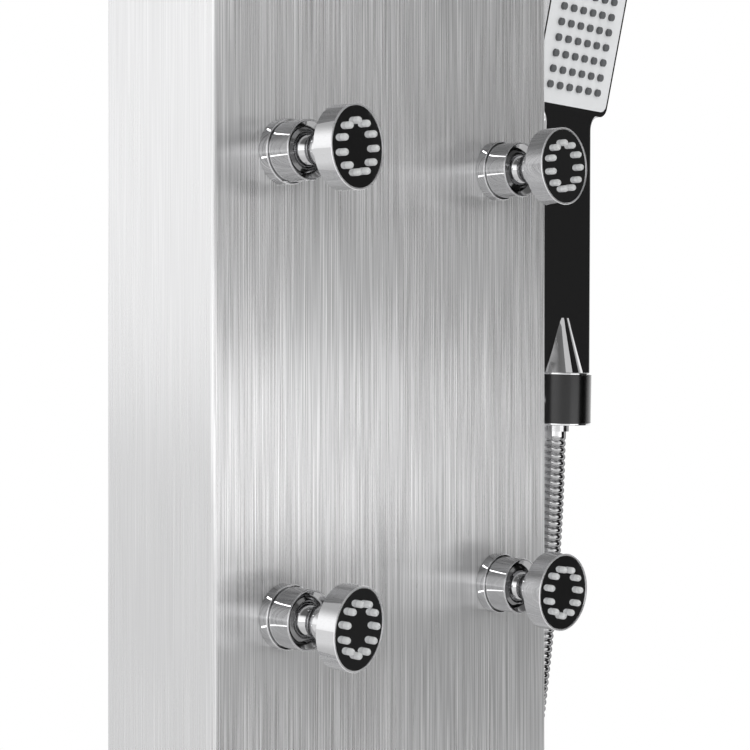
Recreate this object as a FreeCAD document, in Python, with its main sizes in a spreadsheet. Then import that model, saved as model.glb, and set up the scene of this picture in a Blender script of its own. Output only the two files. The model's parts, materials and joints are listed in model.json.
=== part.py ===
import FreeCAD, Part
import Sketcher
import math
import os
from FreeCAD import Placement, Rotation, Vector

# A wall-hung shower column: a bent sheet channel with four body jets, a hand shower in a cup on its
# right side, a mixer, a diverter and an overhead shower. Millimetres. X to the right, Y to the wall,
# Z up. The origin is the centre of the four wall holes, on the wall's face.

SIZES = {
    # the sheet channel
    "panel_width": 220.0,
    "panel_height": 1300.0,
    "panel_depth": 70.0,
    "wall_gap": 2.0,
    "sheet_thickness": 1.5,
    "bend_radius": 2.2,
    "lip_width": 12.0,
    "cap_flange": 12.0,
    "slip": 0.2,
    # hanging
    "wall_hole_spacing_x": 120.0,
    "wall_hole_spacing_z": 900.0,
    "wall_hole_radius": 3.0,
    "bracket_length": 160.0,
    "bracket_height": 30.0,
    "bracket_thickness": 3.2,
    "bracket_hole_rise": 8.0,
    "hook_thickness": 2.2,
    "hook_height": 14.0,
    "rail_thickness": 2.0,
    "rail_height": 34.0,
    # screws
    "screw_radius": 1.9,
    "screw_hole_radius": 2.1,
    "screw_head_radius": 3.6,
    "screw_head_height": 1.6,
    "screw_length": 5.0,
    # body jets
    "jet_spacing_x": 141.0,
    "jet_row_upper": 300.0,
    "jet_row_lower": 101.0,
    "jet_flange_radius": 14.2,
    "jet_flange_thickness": 5.0,
    "jet_groove": 0.5,
    "jet_sleeve_radius": 13.1,
    "jet_sleeve_length": 16.6,
    "jet_mouth_radius": 12.4,
    "jet_mouth_depth": 2.4,
    "jet_socket_radius": 9.9,
    "jet_socket_floor": 5.0,
    "jet_shank_radius": 10.4,
    "jet_shank_length": 22.0,
    "jet_bore_radius": 5.0,
    "jet_pivot": 13.5,
    "jet_ball_radius": 7.75,
    "jet_knuckle_radius": 7.75,
    "jet_knuckle_offset": 10.2,
    "jet_neck_radius": 5.0,
    "jet_head_radius": 18.1,
    "jet_head_thickness": 9.5,
    "jet_reach": 28.4,
    "jet_rim": 0.6,
    "jet_face_recess": 0.2,
    "jet_face_thickness": 1.6,
    "jet_wall": 1.6,
    "jet_mat_thickness": 1.4,
    "jet_nozzle_count": 11.0,
    "jet_nozzle_ring": 10.9,
    "jet_nozzle_radius": 1.55,
    "jet_nozzle_length": 3.0,
    "edge": 0.4,
    "running_gap": 0.15,
    "washer_radius": 16.0,
    "washer_thickness": 1.5,
    "nut_radius": 15.6,
    "nut_thickness": 7.0,
    "thread_gap": 0.1,
    # overhead shower
    "rain_drop": 75.0,
    "rain_reach": 288.0,
    "rain_arm_width": 28.0,
    "rain_arm_thickness": 14.0,
    "rain_plate_radius": 26.0,
    "rain_plate_thickness": 6.0,
    "rain_boss_radius": 13.0,
    "rain_boss_drop": 14.0,
    "rain_tail_length": 32.0,
    "rain_ball_radius": 9.0,
    "rain_ball_drop": 9.0,
    "rain_ring_radius": 15.0,
    "rain_ring_lip": 4.5,
    "rain_neck_radius": 5.5,
    "rain_neck_length": 16.0,
    "rain_dome_radius": 22.0,
    "rain_dome_height": 5.0,
    "rain_head_side": 200.0,
    "rain_head_thickness": 9.0,
    "rain_head_corner": 12.0,
    "rain_nozzle_rows": 9.0,
    "rain_nozzle_pitch": 20.0,
    "rain_nozzle_radius": 1.9,
    "rain_nozzle_length": 1.8,
    # valves
    "mixer_height": -260.0,
    "diverter_height": -100.0,
    "valve_radius": 24.0,
    "valve_back": 26.0,
    "valve_neck_radius": 19.5,
    "valve_neck_length": 3.6,
    "cartridge_radius": 17.4,
    "cartridge_floor": 36.0,
    "stub_radius": 11.0,
    "stub_reach": 30.0,
    "cover_radius": 32.0,
    "cover_thickness": 6.0,
    "cover_wall": 1.6,
    "spindle_radius": 9.0,
    "mixer_ball_radius": 6.0,
    "mixer_pivot": 12.0,
    "mixer_stem_radius": 3.0,
    "handle_radius": 21.0,
    "handle_length": 24.0,
    "handle_wall": 2.5,
    "handle_stand_off": 16.0,
    "lever_width": 12.0,
    "lever_thickness": 7.0,
    "lever_length": 78.0,
    "stem_radius": 4.0,
    "knob_radius": 22.0,
    "knob_length": 26.0,
    "knob_stand_off": 7.0,
    "knob_flute_radius": 5.0,
    "knob_flute_count": 12.0,
    # pipes
    "pipe_plane": 42.0,
    "back_pipe_plane": 15.0,
    "main_pipe_radius": 8.0,
    "jet_pipe_radius": 7.0,
    "cross_pipe_radius": 8.0,
    "back_pipe_radius": 6.0,
    "pipe_wall": 1.5,
    "pipe_bend": 13.0,
    "back_pipe_bend": 9.0,
    "back_port_offset": 10.0,
    "cross_pipe_height": 200.0,
    "inlet_spacing": 150.0,
    "inlet_hole_radius": 18.5,
    "inlet_drop": 40.0,
    "inlet_thread_length": 14.0,
    "hose_pipe_straight": 40.0,
    "hose_pipe_sweep": 40.0,
    # cup and hand shower
    "holder_x": 151.2,
    "holder_depth": 44.0,
    "holder_height": 187.0,
    "holder_lean": 1.8,
    "cup_radius": 19.8,
    "cup_height": 27.4,
    "cup_mouth_radius": 15.9,
    "cup_exit_radius": 10.6,
    "holder_arm_radius": 9.0,
    "holder_foot_radius": 16.0,
    "holder_foot_thickness": 6.0,
    "holder_screw_offset": 11.5,
    "seat_gap": 0.35,
    "grip_width": 41.0,
    "grip_foot_width": 47.6,
    "grip_thickness": 13.6,
    "grip_length": 137.0,
    "grip_edge": 2.5,
    "grip_foot_radius": 15.3,
    "grip_foot_height": 28.5,
    "grip_foot_top_radius": 7.4,
    "grip_spigot_length": 4.0,
    "grip_tail_radius": 10.2,
    "grip_tail_length": 9.0,
    "grip_bore_radius": 4.2,
    "spray_width": 63.0,
    "spray_length": 96.0,
    "spray_thickness": 12.0,
    "spray_lean": 11.8,
    "spray_corner": 5.0,
    "spray_shoulder": 6.0,
    "spray_throat": 8.0,
    "spray_rim": 1.1,
    "spray_rim_bottom": 2.6,
    "spray_face_thickness": 1.6,
    "spray_mat_thickness": 1.4,
    "spray_chamber": 4.0,
    "spray_columns": 6.0,
    "spray_rows": 10.0,
    "spray_pitch": 8.05,
    "spray_first_row": 9.7,
    "spray_nozzle_radius": 1.9,
    "spray_nozzle_length": 1.5,
    "nozzle_hole_gap": 0.1,
    # hose and its ends
    "hose_radius": 7.0,
    "hose_groove_radius": 6.3,
    "hose_bore_radius": 4.0,
    "hose_rib_count": 200.0,
    "hose_first_run": 36.0,
    "union_tip_radius": 8.4,
    "union_tip_length": 3.5,
    "outlet_x": -38.0,
    "outlet_depth": 36.0,
    "outlet_collar_radius": 14.0,
    "outlet_collar_height": 4.0,
    "outlet_thread_length": 11.0,
    "outlet_rise": 9.0,
    "outlet_nut_radius": 12.6,
    "outlet_nut_length": 22.0,
    "outlet_nut_floor": 8.0,
}

# The hose's way from the hand shower's union, down beside the column, through a round turn below
# it and up to the outlet: the inner points of the route. It leaves the union along its axis.
HOSE_ROUTE = [
    (149.9, -37.8, 70.0),
    (143.5, -32.0, -5.0),
    (133.0, -26.0, -100.0),
    (126.0, -20.5, -225.0),
    (122.0, -17.0, -390.0),
    (121.5, -15.0, -570.0),
    (122.8, -13.5, -722.0),
    (122.2, -12.6, -832.0),
    (122.0, -12.2, -911.0),
    (91.4, -12.4, -953.0),
    (42.0, -16.0, -969.1),
    (-7.4, -24.0, -953.0),
    (-36.8, -32.5, -911.0),
    (-38.4, -35.4, -832.0),
    (-38.0, -36.0, -740.0),
]

document = FreeCAD.newDocument("shower_column")
sheet = document.addObject("Spreadsheet::Sheet", "Sizes")
for row, (alias, number) in enumerate(SIZES.items(), start=1):
    sheet.set(f"A{row}", alias)
    sheet.set(f"B{row}", str(number))
    sheet.setAlias(f"B{row}", alias)
document.recompute()


class Size:
    """A length or a count, with the sheet expression that it comes from."""

    def __init__(self, value, text):
        self.value = value
        self.text = text

    def __add__(self, other):
        return combine(self, "+", other)

    def __radd__(self, other):
        return combine(other, "+", self)

    def __sub__(self, other):
        return combine(self, "-", other)

    def __rsub__(self, other):
        return combine(other, "-", self)

    def __mul__(self, other):
        return combine(self, "*", other)

    def __rmul__(self, other):
        return combine(other, "*", self)

    def __truediv__(self, other):
        return combine(self, "/", other)

    def __neg__(self):
        return combine(0, "-", self)


def value_of(size):
    return size.value if isinstance(size, Size) else float(size)


def text_of(size):
    return size.text if isinstance(size, Size) else f"{float(size):.6g}"


def combine(left, sign, right):
    first, second = value_of(left), value_of(right)
    results = {"+": first + second, "-": first - second, "*": first * second}
    value = first / second if sign == "/" else results[sign]
    return Size(value, f"({text_of(left)} {sign} {text_of(right)})")


def root(size):
    return Size(math.sqrt(size.value), f"sqrt({size.text})")


def sine(size):
    return Size(math.sin(math.radians(size.value)), f"sin({size.text} * 1 deg)")


def cosine(size):
    return Size(math.cos(math.radians(size.value)), f"cos({size.text} * 1 deg)")


def named(alias):
    return Size(float(sheet.get(alias)), f"Sizes.{alias}")


def bind(thing, path, size):
    if isinstance(size, Size):
        thing.setExpression(path, size.text)
    elif "." in path:
        thing.setExpression(path, text_of(size))
    else:
        setattr(thing, path, size)


def place(thing, x=0, y=0, z=0, turn=None):
    """Puts an object at a point that is bound to the sheet."""
    spot = Vector(value_of(x), value_of(y), value_of(z))
    thing.Placement = Placement(spot, turn or Rotation())
    for axis, size in zip("xyz", (x, y, z)):
        if isinstance(size, Size):
            thing.setExpression(f"Placement.Base.{axis}", size.text)
    return thing


TO_FRONT = Rotation(Vector(1, 0, 0), 90)     # local Z points away from the wall
TO_WALL = Rotation(Vector(1, 0, 0), -90)
TO_RIGHT = Rotation(Vector(0, 1, 0), 90)
TO_LEFT = Rotation(Vector(0, 1, 0), -90)

nodes = []


def node(label, thing):
    thing.Label = label
    nodes.append(thing)
    return thing


# ---- sketches and solids ------------------------------------------------------------------------


class Arc:
    """A step of an outline: a round stretch about a centre on the given x, to the end point."""

    def __init__(self, centre_x, centre_y, x, y, clockwise=False):
        self.centre = (centre_x, centre_y)
        self.point = (x, y)
        self.clockwise = clockwise


def new_body(name):
    return document.addObject("PartDesign::Body", name)


def new_sketch(body, role):
    sketch = body.newObject("Sketcher::SketchObject", "Sketch")
    plane = next(p for p in body.Origin.OriginFeatures if p.Role == role)
    sketch.AttachmentSupport = (plane, [""])
    sketch.MapMode = "FlatFace"
    return sketch


def hold_point(sketch, geometry, position, x, y):
    """Fixes a point of a sketch at sizes from the sheet."""
    for size, kind, axis in ((x, "DistanceX", -2), (y, "DistanceY", -1)):
        if not isinstance(size, Size) and size == 0:
            sketch.addConstraint(Sketcher.Constraint("PointOnObject", geometry, position, axis))
            continue
        rule = Sketcher.Constraint(kind, -1, 1, geometry, position, value_of(size))
        index = sketch.addConstraint(rule)
        if isinstance(size, Size):
            sketch.setExpression(f"Constraints[{index}]", size.text)


def outline(sketch, steps):
    """Draws a closed outline of straight and round stretches."""
    points = [step.point if isinstance(step, Arc) else step for step in steps]
    spots = [Vector(value_of(x), value_of(y), 0) for x, y in points]
    first = sketch.GeometryCount
    count = len(steps)
    ends = []
    for number, step in enumerate(steps):
        start, end = spots[number - 1], spots[number]
        if isinstance(step, Arc):
            centre = Vector(value_of(step.centre[0]), value_of(step.centre[1]), 0)
            circle = Part.Circle(centre, Vector(0, 0, 1), (end - centre).Length)
            angles = [math.atan2(p.y - centre.y, p.x - centre.x) for p in (start, end)]
            if step.clockwise:
                angles.reverse()
            sketch.addGeometry(Part.ArcOfCircle(circle, *angles), False)
            ends.append((2, 1) if step.clockwise else (1, 2))
        else:
            sketch.addGeometry(Part.LineSegment(start, end), False)
            ends.append((1, 2))
    for number in range(count):
        following = (number + 1) % count
        sketch.addConstraint(Sketcher.Constraint(
            "Coincident", first + number, ends[number][1], first + following, ends[following][0]))
    for number, step in enumerate(steps):
        hold_point(sketch, first + number, ends[number][1], *points[number])
        if isinstance(step, Arc):
            hold_centre(sketch, first + number, step.centre[0])


def hold_centre(sketch, geometry, x):
    if not isinstance(x, Size) and x == 0:
        sketch.addConstraint(Sketcher.Constraint("PointOnObject", geometry, 3, -2))
        return
    index = sketch.addConstraint(
        Sketcher.Constraint("DistanceX", -1, 1, geometry, 3, value_of(x)))
    if isinstance(x, Size):
        sketch.setExpression(f"Constraints[{index}]", x.text)


def ring_line(sketch, x, y, radius):
    """Draws a circle."""
    centre = Vector(value_of(x), value_of(y), 0)
    geometry = sketch.addGeometry(
        Part.Circle(centre, Vector(0, 0, 1), value_of(radius)), False)
    hold_point(sketch, geometry, 3, x, y)
    index = sketch.addConstraint(Sketcher.Constraint("Radius", geometry, value_of(radius)))
    if isinstance(radius, Size):
        sketch.setExpression(f"Constraints[{index}]", radius.text)


def turned(name, steps, axis=("V_Axis",)):
    """A lathe-turned piece: an outline of (radius, height) spun about Z."""
    body = new_body(name)
    sketch = new_sketch(body, "XZ_Plane")
    outline(sketch, steps)
    spun = body.newObject("PartDesign::Revolution", "Turned")
    spun.Profile = sketch
    spun.ReferenceAxis = (sketch, list(axis))
    spun.Angle = 360
    sketch.Visibility = False
    return body


def padded(body, role, draw, length, reverse=False):
    """Adds to a body what draw() sketches on one of its planes, as thick as length."""
    sketch = new_sketch(body, role)
    draw(sketch)
    pad = body.newObject("PartDesign::Pad", "Pad")
    pad.Profile = sketch
    pad.Reversed = reverse
    bind(pad, "Length", length)
    return pad


def plate(name, role, steps, thickness, reverse=False):
    body = new_body(name)
    padded(body, role, lambda sketch: outline(sketch, steps), thickness, reverse)
    return body


def rectangle(x0, y0, x1, y1):
    return [(x0, y0), (x1, y0), (x1, y1), (x0, y1)]


def edges_at(shape, test):
    """Names of the edges whose two ends pass a test."""
    found = []
    for number, edge in enumerate(shape.Edges, start=1):
        spots = [vertex.Point for vertex in edge.Vertexes]
        if len(spots) == 2 and test(*spots):
            found.append(f"Edge{number}")
    return found


def rounded(body, radius, test):
    """Rounds the edges of a body that pass a test."""
    document.recompute()
    base = body.Tip
    fillet = body.newObject("PartDesign::Fillet", "Round")
    fillet.Base = (base, edges_at(base.Shape, test))
    bind(fillet, "Radius", radius)
    body.Tip = fillet
    return fillet


def cylinder(radius, height, x=0, y=0, z=0, turn=None):
    thing = document.addObject("Part::Cylinder", "Cylinder")
    bind(thing, "Radius", radius)
    bind(thing, "Height", height)
    return place(thing, x, y, z, turn)


def cone(lower, upper, height, x=0, y=0, z=0, turn=None):
    thing = document.addObject("Part::Cone", "Cone")
    bind(thing, "Radius1", lower)
    bind(thing, "Radius2", upper)
    bind(thing, "Height", height)
    return place(thing, x, y, z, turn)


def box(length, width, height, x=0, y=0, z=0, turn=None):
    """A block with its lowest corner at the given point."""
    thing = document.addObject("Part::Box", "Block")
    bind(thing, "Length", length)
    bind(thing, "Width", width)
    bind(thing, "Height", height)
    return place(thing, x, y, z, turn)


def fused(*things):
    if len(things) == 1:
        return things[0]
    thing = document.addObject("Part::MultiFuse", "Joined")
    thing.Shapes = list(things)
    return thing


def cut(base, *tools):
    thing = document.addObject("Part::Cut", "Cut")
    thing.Base = base
    thing.Tool = fused(*tools)
    return thing


def group(*things):
    thing = document.addObject("Part::Compound", "Group")
    thing.Links = list(things)
    return thing


def same(master, x=0, y=0, z=0, turn=None):
    """The same piece again, at another place."""
    return place(group(master), x, y, z, turn)


# ---- sizes that several pieces share ------------------------------------------------------------

half_width = named("panel_width") / 2
half_height = named("panel_height") / 2
rain_z = half_height - named("rain_drop")
front = -(named("panel_depth") + named("wall_gap"))
back = -named("wall_gap")
sheet_wall = named("sheet_thickness")
inner_front = front + sheet_wall
slip = named("slip")
inner_half = half_width - sheet_wall - slip
lip_front = back - sheet_wall
shank = named("jet_shank_radius")
edge = named("edge")
gap = named("running_gap")
pipe_y = -named("pipe_plane")
back_pipe_y = -named("back_pipe_plane")
bracket_z = named("wall_hole_spacing_z") / 2
screw_hole = named("screw_hole_radius")
rail_bottom = (bracket_z + named("bracket_height") - named("bracket_hole_rise")
               - named("hook_height"))
rail_middle = rail_bottom + named("rail_height") / 2
rail_screw_x = half_width - sheet_wall - named("lip_width") / 2
cap_screw_z = half_height - named("cap_flange") / 2
cap_screw_y = (front + back) / 2
holder_x = named("holder_x")
holder_y = -named("holder_depth")
holder_z = named("holder_height")
holder_screw = named("holder_screw_offset")
outlet_x = named("outlet_x")
outlet_y = -named("outlet_depth")

JETS = {
    # name: side, row, turn to the right and up at rest, in degrees
    "upper_left": (-1, "jet_row_upper", 7.0, 0.0),
    "upper_right": (1, "jet_row_upper", 1.6, 0.5),
    "lower_left": (-1, "jet_row_lower", 9.2, -3.0),
    "lower_right": (1, "jet_row_lower", 0.0, -1.0),
}


def jet_x(side):
    return side * named("jet_spacing_x") / 2


# ---- sheet metal --------------------------------------------------------------------------------


def make_panel_shell():
    lip = named("lip_width")
    steps = [
        (-half_width, front), (half_width, front), (half_width, back),
        (half_width - lip, back), (half_width - lip, lip_front),
        (half_width - sheet_wall, lip_front), (half_width - sheet_wall, inner_front),
        (sheet_wall - half_width, inner_front), (sheet_wall - half_width, lip_front),
        (lip - half_width, lip_front), (lip - half_width, back), (-half_width, back),
    ]
    channel = plate("channel", "XY_Plane", steps, named("panel_height"))
    place(channel, 0, 0, -half_height)
    bend = named("bend_radius")
    limit = 0.01
    outer, inner = value_of(half_width), value_of(half_width - sheet_wall)
    front_y, inner_y = value_of(front), value_of(inner_front)

    def upright_at(first, second, x, y):
        near = all(abs(abs(p.x) - x) < limit and abs(p.y - y) < limit for p in (first, second))
        return near and abs(first.z - second.z) > 1

    rounded(channel, bend, lambda a, b: upright_at(a, b, outer, front_y))
    rounded(channel, bend - sheet_wall, lambda a, b: upright_at(a, b, inner, inner_y))
    holes = []
    for side, row, _, _ in JETS.values():
        holes.append(front_hole(shank + gap, jet_x(side), named(row)))
    holes.append(front_hole(named("valve_neck_radius") + gap, 0, named("mixer_height")))
    holes.append(front_hole(named("valve_neck_radius") + gap, 0, named("diverter_height")))
    holes.append(front_hole(shank + gap, 0, rain_z))
    for sign in (-1, 1):
        for high in (-1, 1):
            holes.append(cylinder(screw_hole, sheet_wall * 3, sign * rail_screw_x,
                                  lip_front - sheet_wall, high_z(high), TO_WALL))
            holes.append(cylinder(screw_hole, sheet_wall * 3, sign * (half_width - 2 * sheet_wall),
                                  cap_screw_y, high * cap_screw_z,
                                  TO_RIGHT if sign > 0 else TO_LEFT))
    for high in (-1, 1):
        holes.append(cylinder(screw_hole, sheet_wall * 3, half_width - 2 * sheet_wall,
                              holder_y, holder_z + high * holder_screw, TO_RIGHT))
    node("panel_shell", cut(channel, *holes))


def front_hole(radius, x, z):
    return cylinder(radius, sheet_wall * 3, x, inner_front + sheet_wall, z, TO_FRONT)


def high_z(high):
    """Height of the screws of the upper or the lower rail."""
    return rail_middle if high > 0 else rail_middle - 2 * bracket_z


def make_cap(label, sign):
    flange = named("cap_flange")
    depth = lip_front - slip - (inner_front + slip)
    top = box(2 * inner_half, depth, sheet_wall, -inner_half, inner_front + slip,
              half_height - sheet_wall)
    folds = []
    for side in (-1, 1):
        x = inner_half - sheet_wall if side > 0 else -inner_half
        fold = box(sheet_wall, depth, flange, x, inner_front + slip, half_height - flange)
        hole = cylinder(named("screw_radius") + named("thread_gap"), sheet_wall * 3,
                        side * (inner_half - 2 * sheet_wall), cap_screw_y, cap_screw_z,
                        TO_RIGHT if side > 0 else TO_LEFT)
        folds.append(cut(fold, hole))
    cap = fused(top, *folds)
    if sign < 0:
        # the lower cap is the upper one turned over, with holes for the outlet and the two
        # supply hoses
        flipped = place(group(cap), turn=Rotation(Vector(0, 1, 0), 180))
        start = -half_height - sheet_wall
        holes = [cylinder(shank + gap, sheet_wall * 3, outlet_x, outlet_y, start)]
        for side in (-1, 1):
            holes.append(cylinder(named("inlet_hole_radius"), sheet_wall * 3,
                                  side * named("inlet_spacing") / 2, pipe_y, start))
        cap = cut(flipped, *holes)
    node(label, cap)


def make_hanging(name, drop):
    """A wall bracket with an upturned hook, and the rail on the channel that drops into it."""
    thick = named("bracket_thickness")
    hook = named("hook_thickness")
    length = named("bracket_length")
    slot = -(thick + named("rail_thickness") + 2 * slip + gap)
    top = named("bracket_height") - named("bracket_hole_rise")
    ledge = top - named("hook_height")
    steps = [
        (0, -named("bracket_hole_rise")), (-thick, -named("bracket_hole_rise")),
        (-thick, ledge - hook), (slot - hook, ledge - hook), (slot - hook, top), (slot, top),
        (slot, ledge), (-thick, ledge), (-thick, top), (0, top),
    ]
    profile = plate("bracket", "YZ_Plane", steps, length)
    place(profile, -length / 2, 0, bracket_z - drop)
    holes = [cylinder(named("wall_hole_radius"), 3 * thick,
                      side * named("wall_hole_spacing_x") / 2, -2 * thick, bracket_z - drop,
                      TO_WALL)
             for side in (-1, 1)]
    node(f"wall_bracket_{name}", cut(profile, *holes))
    rail = box(2 * inner_half, named("rail_thickness"), named("rail_height"),
               -inner_half, lip_front - named("rail_thickness"), rail_bottom - drop)
    screws = [cylinder(named("screw_radius") + named("thread_gap"), 3 * named("rail_thickness"),
                       side * rail_screw_x, lip_front - 2 * named("rail_thickness"),
                       rail_middle - drop, TO_WALL)
              for side in (-1, 1)]
    node(f"hanger_rail_{name}", cut(rail, *screws))


def make_screws():
    """One pan-head screw, used ten times: rails, end caps and the hand shower's cup."""
    head = named("screw_head_radius")
    tall = named("screw_head_height")
    shaft = named("screw_radius")
    steps = [(0, 0), (0, tall), (head * 0.6, tall), (head, tall * 0.4), (head, 0), (shaft, 0),
             (shaft, -named("screw_length")), (0, -named("screw_length"))]
    master = turned("screw", steps)
    pieces = []
    for side in (-1, 1):
        for high in (-1, 1):
            pieces.append(same(master, side * rail_screw_x, back, high_z(high), TO_WALL))
            pieces.append(same(master, side * half_width, cap_screw_y, high * cap_screw_z,
                               TO_RIGHT if side > 0 else TO_LEFT))
    for high in (-1, 1):
        pieces.append(same(master, half_width - sheet_wall, holder_y,
                           holder_z + high * holder_screw, TO_LEFT))
    node("panel_screws", group(*pieces))


# ---- body jets ----------------------------------------------------------------------------------


def jet_sleeve_outline():
    flange = named("jet_flange_radius")
    thick = named("jet_flange_thickness")
    groove = named("jet_groove")
    sleeve = named("jet_sleeve_radius")
    length = named("jet_sleeve_length")
    mouth = named("jet_mouth_radius")
    socket = named("jet_socket_radius")
    bore = named("jet_bore_radius")
    end = -named("jet_shank_length")
    return [
        (bore, end), (shank, end), (shank, 0), (flange - edge, 0), (flange, edge),
        (flange, thick - edge), (flange - edge, thick), (sleeve - groove, thick),
        (sleeve - groove, thick + groove), (sleeve, thick + groove), (sleeve, length - edge / 2),
        (sleeve - edge / 2, length), (mouth, length), (socket, length - named("jet_mouth_depth")),
        (socket, named("jet_socket_floor")), (bore, named("jet_socket_floor")),
    ]


def jet_seat_outline():
    """The nylon ring round the ball, in the jet's own heights."""
    outer = named("jet_socket_radius") - gap
    hold = named("jet_ball_radius") + gap
    pivot = named("jet_pivot")
    low = named("jet_socket_floor") + slip
    top = named("jet_sleeve_length") - named("jet_mouth_depth")
    rise = top + 0.8
    inner_low = root(hold * hold - (pivot - low - 2) * (pivot - low - 2))
    inner_top = root(hold * hold - (rise - pivot) * (rise - pivot))
    return [
        (inner_low, low), (outer, low), (outer, top), (inner_top + 0.5, rise), (inner_top, rise),
        Arc(0, pivot, inner_low, low + 2, clockwise=True),
    ]


def jet_head_outline():
    """Ball, round knuckle, neck and cup-shaped head, turned in one piece about the pivot."""
    ball = named("jet_ball_radius")
    knuckle = named("jet_knuckle_radius")
    offset = named("jet_knuckle_offset")
    bore = named("jet_bore_radius") - 1.8
    neck = named("jet_neck_radius")
    head = named("jet_head_radius")
    face = named("jet_reach")
    rear = face - named("jet_head_thickness")
    waist_z = (offset * offset + ball * ball - knuckle * knuckle) / (2 * offset)
    waist_r = root(ball * ball - waist_z * waist_z)
    ball_z = -root(ball * ball - bore * bore)
    neck_z = offset + root(knuckle * knuckle - neck * neck)
    seat = face - named("jet_face_recess") - named("jet_face_thickness")
    rim = named("jet_rim")
    cavity = head - named("jet_wall")
    floor = rear + named("jet_wall")
    return [
        (bore, ball_z), Arc(0, 0, waist_r, waist_z), Arc(0, offset, neck, neck_z),
        (neck, rear), (head - edge, rear), (head, rear + edge), (head, face - edge / 2),
        (head - edge / 2, face), (head - rim, face), (head - rim, seat), (cavity, seat),
        (cavity, floor), (bore, floor),
    ]


def jet_face_body():
    """The mirror plate with its ring of holes."""
    thick = named("jet_face_thickness")
    outer = named("jet_head_radius") - named("jet_rim") - gap / 3
    body = new_body("jet_face")
    padded(body, "XY_Plane", lambda sketch: ring_line(sketch, 0, 0, outer), thick)
    sketch = new_sketch(body, "XY_Plane")
    ring_line(sketch, named("jet_nozzle_ring"), 0,
              named("jet_nozzle_radius") + named("nozzle_hole_gap"))
    pocket = body.newObject("PartDesign::Pocket", "Hole")
    pocket.Profile = sketch
    pocket.Type = "ThroughAll"
    pocket.Reversed = True
    spread_round(body, [pocket], sketch)
    return body


def spread_round(body, features, sketch):
    document.recompute()
    pattern = body.newObject("PartDesign::PolarPattern", "Round")
    pattern.Originals = features
    pattern.Axis = (sketch, ["N_Axis"])
    pattern.Angle = 360
    bind(pattern, "Occurrences", named("jet_nozzle_count"))
    body.Tip = pattern
    return pattern


def jet_mat_body():
    """The silicone insert: a disc behind the face and a ring of nozzles through it."""
    thick = named("jet_mat_thickness")
    outer = named("jet_head_radius") - named("jet_wall") - gap
    ring = named("jet_nozzle_ring")
    nozzle = named("jet_nozzle_radius")
    tip = thick + named("jet_face_thickness") + named("jet_nozzle_length")
    body = new_body("jet_nozzles")
    padded(body, "XY_Plane", lambda sketch: ring_line(sketch, 0, 0, outer), thick)
    sketch = new_sketch(body, "XZ_Plane")
    outline(sketch, [(ring, 0), (ring + nozzle, 0), (ring + nozzle, tip - nozzle),
                     Arc(ring, tip - nozzle, ring, tip)])
    spun = body.newObject("PartDesign::Revolution", "Nozzle")
    spun.Profile = sketch
    spun.ReferenceAxis = (sketch, ["Edge1"])
    spun.Angle = 360
    turning = new_sketch(body, "XY_Plane")
    ring_line(turning, 0, 0, thick)
    spread_round(body, [spun], turning)
    return body


def make_jets():
    sleeve = turned("jet_sleeve", jet_sleeve_outline())
    seat = turned("jet_seat", jet_seat_outline())
    head = turned("jet_head", jet_head_outline())
    face = jet_face_body()
    mat = jet_mat_body()
    pivot_y = front - named("jet_pivot")
    face_z = value_of(named("jet_reach") - named("jet_face_recess") - named("jet_face_thickness"))
    mat_z = face_z - value_of(named("jet_mat_thickness"))
    washers, nuts = [], []
    washer = cut(cylinder(named("washer_radius"), named("washer_thickness")),
                 cylinder(shank + gap, named("washer_thickness")))
    nut = cut(hexagon(named("nut_radius"), named("nut_thickness")),
              cylinder(shank + named("thread_gap"), named("nut_thickness")))
    for name, (side, row, aside, up) in JETS.items():
        x, z = jet_x(side), named(row)
        node(f"jet_body_{name}", same(sleeve, x, front, z, TO_FRONT))
        node(f"jet_seat_{name}", same(seat, x, front, z, TO_FRONT))
        swivel = Rotation(Vector(0, 0, 1), aside) * Rotation(Vector(1, 0, 0), -up) * TO_FRONT
        node(f"jet_head_{name}", same(head, x, pivot_y, z, swivel))
        for part, piece, height in (("face", face, face_z), ("nozzles", mat, mat_z)):
            reach = swivel.multVec(Vector(0, 0, height))
            node(f"jet_{part}_{name}",
                 same(piece, x + reach.x, pivot_y + reach.y, z + reach.z, swivel))
        washers.append(same(washer, x, inner_front, z, TO_WALL))
        nuts.append(same(nut, x, inner_front + named("washer_thickness"), z, TO_WALL))
    node("jet_washers", group(*washers))
    node("jet_backnuts", group(*nuts))


def hexagon(radius, height):
    thing = document.addObject("Part::Prism", "Hexagon")
    thing.Polygon = 6
    bind(thing, "Circumradius", radius)
    bind(thing, "Height", height)
    return thing


# ---- overhead shower ----------------------------------------------------------------------------


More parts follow.
